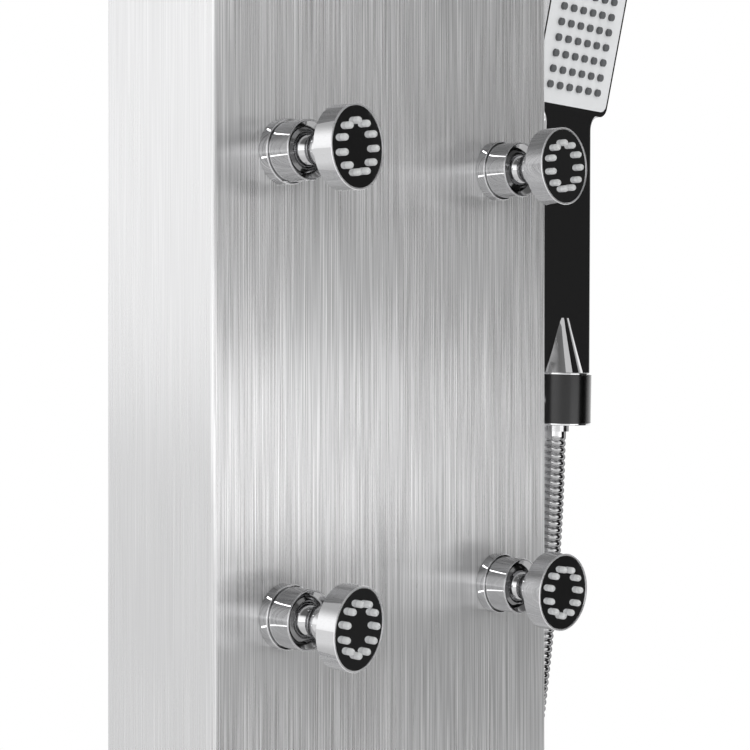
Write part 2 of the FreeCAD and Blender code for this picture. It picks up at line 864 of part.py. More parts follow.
def make_rain_shower():
    width = named("rain_arm_width")
    thick = named("rain_arm_thickness")
    reach = named("rain_reach")
    plate_thick = named("rain_plate_thickness")
    end_y = front - reach
    boss_drop = named("rain_boss_drop")
    tail = named("rain_tail_length")
    bore = named("jet_bore_radius")
    arm = fused(
        cylinder(shank, tail, 0, front, rain_z, TO_WALL),
        cylinder(named("rain_plate_radius"), plate_thick, 0, front, rain_z, TO_FRONT),
        box(width, reach, thick, -width / 2, end_y, rain_z - thick / 2),
        cylinder(named("rain_arm_width") / 2, thick, 0, end_y, rain_z - thick / 2),
        cylinder(named("rain_boss_radius"), boss_drop, 0, end_y, rain_z - thick / 2 - boss_drop),
    )
    passages = fused(
        cylinder(bore, reach + tail, 0, front + tail, rain_z, TO_FRONT),
        cylinder(bore, thick / 2 + boss_drop, 0, end_y, rain_z - thick / 2 - boss_drop),
    )
    node("rain_arm", cut(arm, passages))
    washer_nut = cut(hexagon(named("nut_radius"), named("nut_thickness")),
                     cylinder(shank + named("thread_gap"), named("nut_thickness")))
    node("rain_arm_backnut", place(washer_nut, 0, inner_front, rain_z, TO_WALL))

    # ring and ball, in heights from the ball's centre
    ball = named("rain_ball_radius")
    hold = ball + gap
    ring = named("rain_ring_radius")
    lip = named("rain_ring_lip")
    top = named("rain_ball_drop") - slip
    inner = root(hold * hold - lip * lip)
    mouth = bore + 1
    mouth_z = root(hold * hold - mouth * mouth)
    centre_z = rain_z - thick / 2 - boss_drop - named("rain_ball_drop")
    ring_body = turned("rain_ring", [
        (ring - 3, -lip), (ring, 3 - lip), (ring, top), (mouth, top), (mouth, mouth_z),
        Arc(0, 0, inner, -lip, clockwise=True)])
    node("rain_swivel_ring", place(ring_body, 0, end_y, centre_z))

    neck = named("rain_neck_radius")
    neck_end = named("rain_neck_length")
    dome = named("rain_dome_radius")
    side = named("rain_head_side")
    slab = named("rain_head_thickness")
    ball_z = root(ball * ball - bore * bore * 0.36)
    small_bore = bore * 0.6
    low = -neck_end - named("rain_dome_height")
    stalk = turned("rain_stalk", [
        (small_bore, low), (dome, low), (dome - 3, -neck_end - 1),
        (neck + 3, -neck_end), (neck, 3 - neck_end), (neck, -root(ball * ball - neck * neck)),
        Arc(0, 0, small_bore, ball_z)])
    slab_body = square_plate("rain_slab", side, slab, named("rain_head_corner"))
    place(slab_body, 0, 0, low - slab)
    wall = sheet_wall
    face_side = side - 2 * wall - 2 * slip
    chamber = square_plate("rain_chamber", side - 2 * wall, slab - wall,
                           named("rain_head_corner") - wall)
    place(chamber, 0, 0, low - slab)
    inlet = cylinder(small_bore, slab, 0, 0, low - slab + wall)
    shell = cut(fused(stalk, slab_body), chamber, inlet)
    node("rain_head", place(shell, 0, end_y, centre_z))

    nozzle = named("rain_nozzle_radius")
    rows = int(value_of(named("rain_nozzle_rows")))
    pitch = named("rain_nozzle_pitch")
    face = square_plate("rain_face", face_side, sheet_wall, named("rain_head_corner") - wall - slip)
    drill(face, "XY_Plane", nozzle + named("nozzle_hole_gap"), rows, rows, pitch,
          -pitch * (rows - 1) / 2, -pitch * (rows - 1) / 2, sheet_wall, cutting=True)
    node("rain_face", place(face, 0, end_y, centre_z + low - slab))
    mat_side = pitch * (rows - 1) + 16
    mat = square_plate("rain_mat", mat_side, sheet_wall, named("rain_head_corner") - wall - slip)
    mat_sketch_length = sheet_wall + named("rain_nozzle_length")
    drill(mat, "XY_Plane", nozzle, rows, rows, pitch,
          -pitch * (rows - 1) / 2, -pitch * (rows - 1) / 2, mat_sketch_length, cutting=False)
    node("rain_nozzles", place(mat, 0, end_y, centre_z + low - slab + sheet_wall))


def square_plate(name, side, thick, corner):
    body = plate(name, "XY_Plane", rectangle(-side / 2, -side / 2, side / 2, side / 2), thick)
    rounded(body, corner, lambda a, b: abs(a.x - b.x) < 0.01 and abs(a.y - b.y) < 0.01)
    return body


def drill(body, role, radius, columns, rows, pitch, x, y, length, cutting):
    """A column of circles in one sketch, repeated sideways: holes through, or nozzles down."""
    sketch = new_sketch(body, role)
    for number in range(rows):
        ring_line(sketch, x, y + pitch * number, radius)
    kind = "PartDesign::Pocket" if cutting else "PartDesign::Pad"
    feature = body.newObject(kind, "Column")
    feature.Profile = sketch
    bind(feature, "Length", length)
    feature.Reversed = True
    document.recompute()
    pattern = body.newObject("PartDesign::LinearPattern", "Columns")
    pattern.Originals = [feature]
    pattern.Direction = (sketch, ["H_Axis"])
    bind(pattern, "Length", pitch * (columns - 1))
    pattern.Occurrences = columns
    body.Tip = pattern
    return pattern


# ---- valves -------------------------------------------------------------------------------------


def valve_shell(name, ports):
    """A brass body bored for a cartridge. Its axis is Z, outwards, with the panel's face at 0."""
    outer = named("valve_radius")
    neck = named("valve_neck_radius")
    bore = named("cartridge_radius") + named("thread_gap")
    rear = front + named("valve_back")
    floor = front + named("cartridge_floor")
    lathe = turned(name, [
        (0, rear), (outer, rear), (outer, -sheet_wall), (neck, -sheet_wall),
        (neck, named("valve_neck_length")), (bore, named("valve_neck_length")), (bore, floor),
        (0, floor)])
    stub = named("stub_radius")
    way = named("jet_bore_radius")
    level = front + named("pipe_plane")
    out, holes = [], []
    for turn in ports:
        out.append(cylinder(stub, named("stub_reach"), 0, 0, level, turn))
        holes.append(cylinder(way, named("stub_reach"), 0, 0, level, turn))
    core = cylinder(bore, named("valve_neck_length") - floor, 0, 0, floor)
    return fused(lathe, *out), holes, core, rear


UP = Rotation(Vector(1, 0, 0), -90)          # in a valve's own frame, towards the panel's top
BELOW = Rotation(Vector(1, 0, 0), 90)


def make_mixer():
    height = named("mixer_height")
    brass, holes, core, _ = valve_shell("mixer_valve", (UP, TO_RIGHT, TO_LEFT))
    node("mixer_body", place(cut(brass, core, *holes), 0, front, height, TO_FRONT))
    make_cartridge("mixer_cartridge", height)
    make_cover("mixer_cover", height, named("spindle_radius") + gap)

    # spindle and lever, in heights from the panel's face
    pivot = named("mixer_pivot")
    ball = named("mixer_ball_radius")
    hold = ball + gap
    spindle = named("spindle_radius")
    rise = 3
    inner = root(hold * hold - rise * rise)
    low = cartridge_top() + slip
    body = turned("mixer_spindle", [
        (0, low), (spindle, low), (spindle, pivot + rise), (inner, pivot + rise),
        Arc(0, pivot, 0, pivot - hold, clockwise=True)])
    node("mixer_spindle", place(body, 0, front, height, TO_FRONT))
    radius = named("handle_radius")
    wall = named("handle_wall")
    start = named("handle_stand_off") - pivot
    end = start + named("handle_length")
    stem = named("mixer_stem_radius")
    stem_z = root(ball * ball - stem * stem)
    cap = turned("handle_cap", [
        (0, -ball), Arc(0, 0, stem, stem_z), (stem, end - wall), (radius - wall, end - wall),
        (radius - wall, start), (radius, start), (radius, end - 2), (radius - 2, end), (0, end)])
    width = named("lever_width")
    lever = box(width, named("lever_length") - radius + wall, named("lever_thickness"),
                -width / 2, -named("lever_length"), end - named("lever_thickness") - 2)
    handle = fused(cap, lever)
    node("mixer_handle", place(handle, 0, front - pivot, height, TO_FRONT))


def cartridge_top():
    return named("valve_neck_length") - slip


def make_cartridge(label, height):
    radius = named("cartridge_radius")
    floor = front + named("cartridge_floor")
    body = turned(label, [(0, floor), (radius, floor), (radius, cartridge_top()),
                          (0, cartridge_top())])
    node(label, place(body, 0, front, height, TO_FRONT))


def make_cover(label, height, hole):
    outer = named("cover_radius")
    thick = named("cover_thickness")
    wall = named("cover_wall")
    neck = named("valve_neck_radius") + named("thread_gap")
    body = turned(label, [
        (neck, 0), (outer, 0), (outer, thick - 2), (outer - 2, thick), (hole, thick),
        (hole, thick - wall), (neck, thick - wall)])
    node(label, place(body, 0, front, height, TO_FRONT))


def make_diverter():
    height = named("diverter_height")
    brass, holes, core, rear = valve_shell("diverter_valve", (UP, BELOW))
    offset = named("back_port_offset")
    way = named("back_pipe_radius") - named("pipe_wall")
    for sign in (-1, 1):
        holes.append(cylinder(way, named("cartridge_floor") - named("valve_back"),
                              0, sign * offset, rear))
    node("diverter_body", place(cut(brass, core, *holes), 0, front, height, TO_FRONT))
    stem = named("stem_radius")
    radius = named("cartridge_radius")
    floor = front + named("cartridge_floor")
    seat = cartridge_top() - 6
    ceramic = turned("diverter_cartridge", [
        (0, floor), (radius, floor), (radius, cartridge_top()),
        (stem + gap, cartridge_top()), (stem + gap, seat), (0, seat)])
    node("diverter_cartridge", place(ceramic, 0, front, height, TO_FRONT))
    make_cover("diverter_cover", height, stem + gap)
    knob = named("knob_radius")
    start = named("knob_stand_off")
    end = start + named("knob_length")
    inside = end - 5
    spindle = cylinder(stem, inside - seat - slip, 0, front - seat - slip, height, TO_FRONT)
    node("diverter_stem", spindle)
    fit = stem + named("thread_gap")
    lathe = turned("knob", [
        (fit, start), (knob - 1, start), (knob, start + 1), (knob, end - 3), (knob - 3, end),
        (0, end), (0, inside), (fit, inside)])
    flutes = []
    count = int(value_of(named("knob_flute_count")))
    reach = knob + named("knob_flute_radius") * 0.72
    for number in range(count):
        angle = 360.0 * number / count
        flutes.append(cylinder(named("knob_flute_radius"), named("knob_length") - 6,
                               reach * math.cos(math.radians(angle)),
                               reach * math.sin(math.radians(angle)), start + 3))
    node("diverter_knob", place(cut(lathe, *flutes), 0, front, height, TO_FRONT))


# ---- pipes --------------------------------------------------------------------------------------


def pipe_wire(points, radius=None):
    """A path of straight runs joined by tangent arcs, and the arcs' radii.

    With no radius each arc is as large as its two runs allow: 0.45 of the shorter run.
    """
    edges, radii = [], []
    spots = [Vector(*(value_of(part) for part in point)) for point in points]
    start = spots[0]
    for before, corner, after in zip(spots, spots[1:], spots[2:]):
        into, out = corner - before, after - corner
        half_turn = into.getAngle(out) / 2
        shorter = min(into.Length, out.Length)
        size = value_of(radius) if radius else 0.45 * shorter / math.tan(half_turn)
        setback = size * math.tan(half_turn)
        first = corner - into.normalize() * setback
        last = corner + out.normalize() * setback
        inward = (last - corner + first - corner).normalize()
        middle = corner + inward * (size / math.cos(half_turn) - size)
        if (first - start).Length > 1e-6:
            edges.append(Part.LineSegment(start, first).toShape())
        edges.append(Part.Arc(first, middle, last).toShape())
        radii.append(size)
        start = last
    edges.append(Part.LineSegment(start, spots[-1]).toShape())
    return Part.Wire(edges), radii


def swept(wire, radius):
    start = wire.OrderedVertexes[0].Point
    direction = wire.OrderedEdges[0].tangentAt(wire.OrderedEdges[0].FirstParameter)
    circle = Part.Wire([Part.Circle(start, direction, value_of(radius)).toShape()])
    return wire.makePipeShell([circle], True, False)


def bent_pipe(label, points, radius, bend):
    """A bent tube with its bore."""
    wire, _ = pipe_wire(points, bend)
    tube = swept(wire, radius).cut(swept(wire, radius - named("pipe_wall")))
    thing = document.addObject("Part::Feature", label)
    thing.Shape = tube
    return thing


def make_pipes():
    main = named("main_pipe_radius")
    wall = named("pipe_wall")
    stub = named("stub_reach")
    mixer, diverter = named("mixer_height"), named("diverter_height")
    length = diverter - mixer - 2 * stub
    link = cut(cylinder(main, length, 0, pipe_y, mixer + stub),
               cylinder(main - wall, length, 0, pipe_y, mixer + stub))
    node("link_pipe", link)
    make_manifold()

    offset = named("back_port_offset")
    rear = -named("valve_back")
    thin = named("back_pipe_radius")
    bend = named("back_pipe_bend")
    tail_y = front + named("rain_tail_length")
    node("rain_pipe", bent_pipe("rain_pipe_tube", [
        (0, rear, diverter + offset), (0, back_pipe_y, diverter + offset),
        (0, back_pipe_y, rain_z), (0, tail_y, rain_z)], thin, bend))
    outlet_top = -half_height + sheet_wall + named("outlet_rise")
    sweep_end = outlet_top + named("hose_pipe_straight")
    node("hose_pipe", bent_pipe("hose_pipe_tube", [
        (0, rear, diverter - offset), (0, back_pipe_y, diverter - offset),
        (0, back_pipe_y, sweep_end + named("hose_pipe_sweep")), (outlet_x, outlet_y, sweep_end),
        (outlet_x, outlet_y, outlet_top)], thin, bend))
    half = named("inlet_spacing") / 2
    thread = named("inlet_thread_length")
    for label, side in (("inlet_hot", -1), ("inlet_cold", 1)):
        low = mixer - named("inlet_drop")
        tube = bent_pipe(f"{label}_tube", [
            (side * stub, pipe_y, mixer), (side * half, pipe_y, mixer),
            (side * half, pipe_y, low)], main, named("pipe_bend"))
        end = cut(cylinder(shank, thread, side * half, pipe_y, low - thread),
                  cylinder(main - wall, thread, side * half, pipe_y, low - thread))
        node(label, fused(tube, end))


def make_manifold():
    """Two risers that feed the jets, a cross pipe, and the feed from the diverter."""
    radius = named("jet_pipe_radius")
    wall = named("pipe_wall")
    cross = named("cross_pipe_height")
    low, high = named("jet_row_lower"), named("jet_row_upper")
    spacing = named("jet_spacing_x")
    start = named("diverter_height") + named("stub_reach")
    shank_end = front + named("jet_shank_length")
    outer, inner = [], []
    across = named("cross_pipe_radius")
    for pipes, thin, port in ((outer, 0, shank), (inner, wall, named("jet_bore_radius"))):
        size = radius - thin
        pipes.append(cylinder(across - thin, spacing, -spacing / 2, pipe_y, cross, TO_RIGHT))
        pipes.append(cylinder(size, cross - start, 0, pipe_y, start))
        for side in (-1, 1):
            pipes.append(cylinder(size, high - low + 2 * size, jet_x(side), pipe_y, low - size))
            for row in (low, high):
                pipes.append(cylinder(port, pipe_y - shank_end, jet_x(side), shank_end, row,
                                      TO_WALL))
    node("jet_manifold", cut(fused(*outer), *inner))


# ---- cup, hand shower and hose ------------------------------------------------------------------

# The cup leans a little outwards: its frame has its origin at the middle of the cup's mouth.
LEAN = Rotation(Vector(0, 1, 0), value_of(named("holder_lean")))
half_cup = named("cup_height") / 2
mouth_x = holder_x + half_cup * sine(named("holder_lean"))
mouth_z = holder_z + half_cup * cosine(named("holder_lean"))


def cup_radius_at(depth):
    """Inner radius of the cup at a depth below its mouth."""
    taper = (named("cup_mouth_radius") - named("cup_exit_radius")) / named("cup_height")
    return named("cup_mouth_radius") - taper * depth


def make_holder():
    cup = cylinder(named("cup_radius"), named("cup_height"), 0, 0, -named("cup_height"))
    bore = cone(named("cup_exit_radius"), named("cup_mouth_radius"), named("cup_height"),
                0, 0, -named("cup_height"))
    cup_placed = place(group(cup), mouth_x, holder_y, mouth_z, LEAN)
    bore_placed = place(group(bore), mouth_x, holder_y, mouth_z, LEAN)
    arm = cylinder(named("holder_arm_radius"), holder_x - half_width, half_width, holder_y,
                   holder_z, TO_RIGHT)
    foot = cylinder(named("holder_foot_radius"), named("holder_foot_thickness"), half_width,
                    holder_y, holder_z, TO_RIGHT)
    depth = named("screw_length") - sheet_wall + slip
    holes = [cylinder(named("screw_radius") + named("thread_gap"), depth, half_width, holder_y,
                      holder_z + sign * holder_screw, TO_RIGHT) for sign in (-1, 1)]
    node("handset_holder", cut(fused(cup_placed, arm, foot), bore_placed, *holes))


def make_handset():
    """The hand shower, in heights above the cup's mouth, then leant with the cup."""
    width = named("grip_width")
    low_width = named("grip_foot_width")
    thick = named("grip_thickness")
    length = named("grip_length")
    head_width = named("spray_width")
    throat_top = length + named("spray_shoulder")
    steps = [
        (-low_width / 2, 0), (low_width / 2, 0), (width / 2, length), (head_width / 2, length),
        (head_width / 2, throat_top), (-head_width / 2, throat_top), (-head_width / 2, length),
        (-width / 2, length)]
    grip = new_body("grip")
    padded(grip, "XZ_Plane", lambda sketch: outline(sketch, steps), thick)
    grip.Tip.Midplane = True
    corner_z = value_of(length)
    inner_x, outer_x = value_of(width / 2), value_of(head_width / 2)

    def across(first, second, x, z):
        return all(abs(abs(p.x) - x) < 0.01 and abs(p.z - z) < 0.01 for p in (first, second))

    rounded(grip, named("spray_throat"), lambda a, b: across(a, b, inner_x, corner_z))
    rounded(grip, named("spray_corner"), lambda a, b: across(a, b, outer_x, corner_z))
    long_edge = value_of(length / 2)
    rounded(grip, named("grip_edge"),
            lambda a, b: abs(a.y - b.y) < 0.01 and abs(a.z - b.z) > long_edge)

    foot = cone(named("grip_foot_radius"), named("grip_foot_top_radius"),
                named("grip_foot_height"))
    spigot_length = named("grip_spigot_length")
    clear = named("seat_gap")
    spigot = cone(cup_radius_at(spigot_length) - clear, cup_radius_at(0) - clear, spigot_length,
                  0, 0, -spigot_length)
    tail_length = spigot_length + named("grip_tail_length")
    tail = cylinder(named("grip_tail_radius"), tail_length, 0, 0, -tail_length)

    lean = Rotation(Vector(1, 0, 0), value_of(named("spray_lean")))
    slab_thick = named("spray_thickness")
    slab_long = named("spray_length")
    slab = plate("spray_slab", "XZ_Plane",
                 rectangle(-head_width / 2, 0, head_width / 2, slab_long), slab_thick, True)
    rounded(slab, named("spray_corner"), lambda a, b: abs(a.x - b.x) < 0.01
            and abs(a.z - b.z) < 0.01)
    rim = named("spray_rim")
    face_width = head_width - 2 * rim
    face_low = named("spray_rim_bottom")
    face_high = slab_long - rim
    recess = spray_plate("spray_recess", face_width, face_low, face_high,
                         named("spray_face_thickness"), 0)
    chamber_depth = named("spray_mat_thickness") + named("spray_chamber")
    chamber = spray_plate("spray_chamber_room", face_width - 4, face_low + 2, face_high - 2,
                          chamber_depth, named("spray_face_thickness"))
    head_y = -thick / 2
    for piece in (slab, recess, chamber):
        place(piece, 0, head_y, length, lean)
    water = cylinder(named("grip_bore_radius"), throat_top - 1 + tail_length, 0, 0, -tail_length)
    shell = cut(fused(grip, foot, spigot, tail, slab), recess, chamber, water)
    node("handset_shell", place(shell, mouth_x, holder_y, mouth_z, LEAN))

    face = spray_plate("spray_face", face_width - slip, face_low + slip / 2,
                       face_high - slip / 2, named("spray_face_thickness"), 0)
    nozzle = named("spray_nozzle_radius")
    columns = int(value_of(named("spray_columns")))
    rows = int(value_of(named("spray_rows")))
    pitch = named("spray_pitch")
    first_x = -pitch * (columns - 1) / 2
    first_z = face_low + named("spray_first_row")
    spray_grid(face, nozzle + named("nozzle_hole_gap"), columns, rows, pitch, first_x, first_z,
               named("spray_face_thickness"), True)
    mat = spray_plate("spray_mat", face_width - 4 - 2 * slip, face_low + 2 + slip,
                      face_high - 2 - slip, named("spray_mat_thickness"),
                      named("spray_face_thickness"))
    spray_grid(mat, nozzle, columns, rows, pitch, first_x, first_z,
               named("spray_nozzle_length"), False)
    for label, piece in (("handset_face", face), ("handset_nozzles", mat)):
        leant = place(group(piece), 0, head_y, length, lean)
        node(label, place(group(leant), mouth_x, holder_y, mouth_z, LEAN))


def spray_plate(name, width, low, high, thick, depth):
    """A rectangle with round corners in the spray head's plane, going back from its front."""
    body = new_body(name)
    padded(body, "XZ_Plane", lambda sketch: outline(
        sketch, rectangle(-width / 2, low, width / 2, high)), thick, True)
    if value_of(depth):
        sketch = body.Tip.Profile[0]
        sketch.AttachmentOffset = Placement(Vector(0, 0, -value_of(depth)), Rotation())
        sketch.setExpression("AttachmentOffset.Base.z", (-depth).text)
    corner = named("spray_corner") - named("spray_rim")
    rounded(body, corner, lambda a, b: abs(a.x - b.x) < 0.01 and abs(a.z - b.z) < 0.01)
    return body


def spray_grid(body, radius, columns, rows, pitch, x, z, length, cutting):
    """Holes through the face, or nozzles on the mat that stand out of the front by length."""
    sketch = new_sketch(body, "XZ_Plane")
    for number in range(rows):
        ring_line(sketch, x, z + pitch * number, radius)
    if cutting:
        feature = body.newObject("PartDesign::Pocket", "Column")
        feature.Profile = sketch
        feature.Type = "ThroughAll"
        feature.Midplane = True
    else:
        sketch.AttachmentOffset = Placement(Vector(0, 0, value_of(length)), Rotation())
        sketch.setExpression("AttachmentOffset.Base.z", length.text)
        feature = body.newObject("PartDesign::Pad", "Column")
        feature.Profile = sketch
        feature.Reversed = True
        bind(feature, "Length", length + named("spray_face_thickness")
             + named("spray_mat_thickness") / 2)
    document.recompute()
    pattern = body.newObject("PartDesign::LinearPattern", "Columns")
    pattern.Originals = [feature]
    pattern.Direction = (sketch, ["H_Axis"])
    bind(pattern, "Length", pitch * (columns - 1))
    pattern.Occurrences = columns
    body.Tip = pattern


def make_hose_ends():
    clear = named("seat_gap")
    top = named("grip_spigot_length")
    cup = named("cup_height")
    tip = named("union_tip_radius")
    tip_length = named("union_tip_length")
    thread = named("grip_tail_radius") + named("thread_gap")
    thread_end = top + named("grip_tail_length") + slip
    way = named("hose_bore_radius")
    union = turned("hose_union", [
        (thread, -top), (cup_radius_at(top) - clear, -top), (cup_radius_at(cup) - clear, -cup),
        (tip, -cup - edge), (tip, -cup - tip_length), (way, -cup - tip_length),
        (way, -thread_end), (thread, -thread_end)])
    node("hose_nut_handset", place(union, mouth_x, holder_y, mouth_z, LEAN))

    collar = named("outlet_collar_radius")
    collar_height = named("outlet_collar_height")
    below = named("outlet_thread_length")
    above = sheet_wall + named("outlet_rise")
    nipple = turned("hose_outlet_union", [
        (way, above), (shank, above), (shank, 0), (collar - edge, 0), (collar, -edge),
        (collar, edge - collar_height), (collar - edge, -collar_height), (shank, -collar_height),
        (shank, -collar_height - below), (way, -collar_height - below)])
    node("hose_outlet", place(nipple, outlet_x, outlet_y, -half_height))
    nut = named("outlet_nut_radius")
    start = -collar_height - slip
    end = start - named("outlet_nut_length")
    floor = end + named("outlet_nut_floor")
    ring = turned("hose_nut_low", [
        (shank + named("thread_gap"), start), (nut - 0.6, start), (nut, start - 0.6),
        (nut, floor), (named("hose_radius") + 1, end), (way, end), (way, floor),
        (shank + named("thread_gap"), floor)])
    node("hose_nut_outlet", place(ring, outlet_x, outlet_y, -half_height))
    return end


def make_hose(outlet_end):
    """The ribbed hose: outer skin and bore as ruled lofts along the route."""
    mouth = Vector(value_of(mouth_x), value_of(holder_y), value_of(mouth_z))
    depth = value_of(named("cup_height") + named("union_tip_length"))
    start = mouth + LEAN.multVec(Vector(0, 0, -depth))
    end = Vector(value_of(outlet_x), value_of(outlet_y),
                 value_of(-half_height + outlet_end))
    first = start + LEAN.multVec(Vector(0, 0, -value_of(named("hose_first_run"))))
    route = [tuple(start), tuple(first)] + HOSE_ROUTE + [tuple(end)]
    wire, radii = pipe_wire(route)
    length = wire.Length
    crest = value_of(named("hose_radius"))
    groove = value_of(named("hose_groove_radius"))
    bore = value_of(named("hose_bore_radius"))
    ribs = int(value_of(named("hose_rib_count")))
    plain = 2 * crest
    pitch = (length - 2 * plain) / ribs
    stations = [(0.0, crest)]
    for number in range(ribs):
        place_at = plain + pitch * number
        for share, radius in ((0.1, crest), (0.3, groove), (0.5, groove), (0.7, crest)):
            stations.append((place_at + share * pitch, radius))
    stations.append((length, crest))
    skin = hose_skin(wire, stations)
    lining = hose_skin(wire, [(at, bore) for at, _ in stations[::4] + stations[-1:]]).reversed()
    ends = []
    for spot in (0.0, length):
        rings = [Part.Wire([hose_circle(wire, spot, radius)]) for radius in (crest, bore)]
        ends.append(Part.makeFace(rings, "Part::FaceMakerBullseye"))
    shell = Part.Shell(skin.Faces + lining.Faces + ends)
    shell.sewShape()
    solid = Part.Solid(shell)
    if solid.Volume < 0:
        solid.reverse()
    hose = document.addObject("Part::Feature", "hose_tube")
    hose.Shape = solid
    node("hose", hose)
    mean_square = 0.4 * crest ** 2 + 0.2 * groove ** 2 + 0.4 * ((crest + groove) / 2) ** 2
    section = math.pi * (mean_square - bore ** 2)
    print(f"hose: length {length:.1f}, rib pitch {pitch:.2f}, section x length "
          f"{section * length:.0f}, volume {solid.Volume:.0f}, valid {solid.isValid()}")
    print("hose: arc radii", " ".join(f"{radius:.0f}" for radius in radii))
    print("hose: runs", " ".join(f"{(Vector(*b) - Vector(*a)).Length:.0f}"
                                 for a, b in zip(route, route[1:])))


def hose_circle(wire, spot, radius):
    """A circle across the route, its X axis held square to the wall's Y axis."""
    point, tangent = along(wire, spot)
    side = Vector(0, 1, 0).cross(tangent).normalize()
    circle = Part.Circle(point, tangent, radius)
    circle.XAxis = side
    return circle.toShape()


def hose_skin(wire, stations):
    wires = [Part.Wire([hose_circle(wire, spot, radius)]) for spot, radius in stations]
    return Part.makeLoft(wires, False, True)


def along(wire, spot):
    """Point and direction at a distance along a wire."""
    left = spot
    edges = wire.OrderedEdges
    for number, edge_piece in enumerate(edges):
        if left <= edge_piece.Length or number == len(edges) - 1:
            at = edge_piece.getParameterByLength(min(left, edge_piece.Length))
            return edge_piece.valueAt(at), edge_piece.tangentAt(at)
        left -= edge_piece.Length


# ---- build --------------------------------------------------------------------------------------


def main():
    make_panel_shell()
    make_cap("top_cap", 1)
    make_cap("bottom_cap", -1)
    make_hanging("upper", 0)
    make_hanging("lower", 2 * bracket_z)
    make_screws()
    make_jets()
    make_rain_shower()
    make_mixer()
    make_diverter()
    make_pipes()
    make_holder()
    make_handset()
    make_hose(make_hose_ends())
    document.recompute()
    failed = [f"{thing.Name} of {thing.getParentGeoFeatureGroup()}" for thing in document.Objects
              if "Invalid" in thing.State or "Error" in thing.State]
    for thing in nodes:
        if thing.Shape.isNull() or not thing.Shape.isValid() or not thing.Shape.Solids:
            failed.append(thing.Label)
    if failed:
        raise RuntimeError(f"failed: {failed}")
    os.makedirs("parts", exist_ok=True)
    for thing in nodes:
        thing.Shape.exportStep(f"parts/{thing.Label}.step")
    print(len(nodes), "nodes")


main()
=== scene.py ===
"""Dresses the shower column.

It gives every CAD node a finish, turns the jets and the cup finely in chrome, winds the ribbed
hose along its route and sets up the studio.
"""

import json
import math

import bmesh
import bpy
from mathutils import Matrix, Vector


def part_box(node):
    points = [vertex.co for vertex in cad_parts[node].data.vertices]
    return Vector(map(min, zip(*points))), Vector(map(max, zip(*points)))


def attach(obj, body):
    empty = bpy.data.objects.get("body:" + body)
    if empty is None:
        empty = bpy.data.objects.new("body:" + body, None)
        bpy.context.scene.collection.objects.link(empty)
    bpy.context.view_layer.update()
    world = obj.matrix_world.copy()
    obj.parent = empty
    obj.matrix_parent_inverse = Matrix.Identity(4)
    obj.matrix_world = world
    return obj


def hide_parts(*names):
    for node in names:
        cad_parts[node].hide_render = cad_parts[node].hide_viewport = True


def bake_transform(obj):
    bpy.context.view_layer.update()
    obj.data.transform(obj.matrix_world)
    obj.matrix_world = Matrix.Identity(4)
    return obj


bl_info = {
    "name": "Shower column",
    "version": (1, 0, 0),
    "blender": (4, 5, 0),
    "location": "3D View > Sidebar > Shower",
    "description": "Builds the finishes, chrome fittings, hose and studio of a shower column",
    "category": "Object",
}

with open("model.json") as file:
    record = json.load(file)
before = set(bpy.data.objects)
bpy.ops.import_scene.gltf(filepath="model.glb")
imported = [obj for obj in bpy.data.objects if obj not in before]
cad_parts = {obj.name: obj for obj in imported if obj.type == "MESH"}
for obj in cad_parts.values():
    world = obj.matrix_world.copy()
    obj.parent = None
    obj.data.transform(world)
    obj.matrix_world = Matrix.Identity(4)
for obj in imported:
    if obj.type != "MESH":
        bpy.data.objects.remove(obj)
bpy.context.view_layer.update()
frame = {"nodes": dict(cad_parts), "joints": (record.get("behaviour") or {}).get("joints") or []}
joints = {joint["name"]: joint for joint in frame["joints"]}

MM = 0.001
JET_NAMES = ("upper_left", "upper_right", "lower_left", "lower_right")
# how far a head tilts from its jet's axis, in degrees, and how far its ball's centre stands off
# the panel
JET_SWING = 15.0
BALL_STAND_OFF = 13.5 * MM
TOWARDS_WALL = Vector((0, 1, 0))
UP = Vector((0, 0, 1))


def length(name, default, description):
    return bpy.props.FloatProperty(
        name=name, description=description, default=default, unit="LENGTH", precision=5)


def share(name, default, description):
    return bpy.props.FloatProperty(
        name=name, description=description, default=default, min=0, max=1, subtype="FACTOR")


def colour(name, default, description):
    return bpy.props.FloatVectorProperty(
        name=name, description=description, default=default, size=3, min=0, max=1,
        subtype="COLOR")


class ShowerFinishes(bpy.types.PropertyGroup):
    """Colours and polish of the metals, plastics and rubbers."""

    steel: colour("Brushed steel", (0.66, 0.66, 0.665), "Colour of the brushed sheet")
    steel_roughness: share("Brush roughness", 0.29, "Roughness of the brushed sheet")
    steel_metal: share("Brush metal", 0.74, "How much of the sheet's light is mirrored")
    steel_grain: share("Brush direction", 0.95, "How much the brush lines stretch reflections")
    streak: share("Streaks", 0.7, "Strength of the brush lines")
    chrome: colour("Chrome", (0.80, 0.80, 0.81), "Colour of polished chrome")
    chrome_roughness: share("Chrome roughness", 0.035, "Roughness of polished chrome")
    silicone: colour("Silicone", (0.76, 0.77, 0.77), "Colour of the jets' nozzles")
    rubber: colour("Nozzle rubber", (0.10, 0.105, 0.11), "Colour of the hand shower's nozzles")
    plate: colour("Spray plate", (0.78, 0.79, 0.80), "Colour of the hand shower's face")
    brass: colour("Brass", (0.66, 0.47, 0.20), "Colour of the machined brass")
    zinc: colour("Zinc plate", (0.50, 0.51, 0.53), "Colour of the plated brackets")


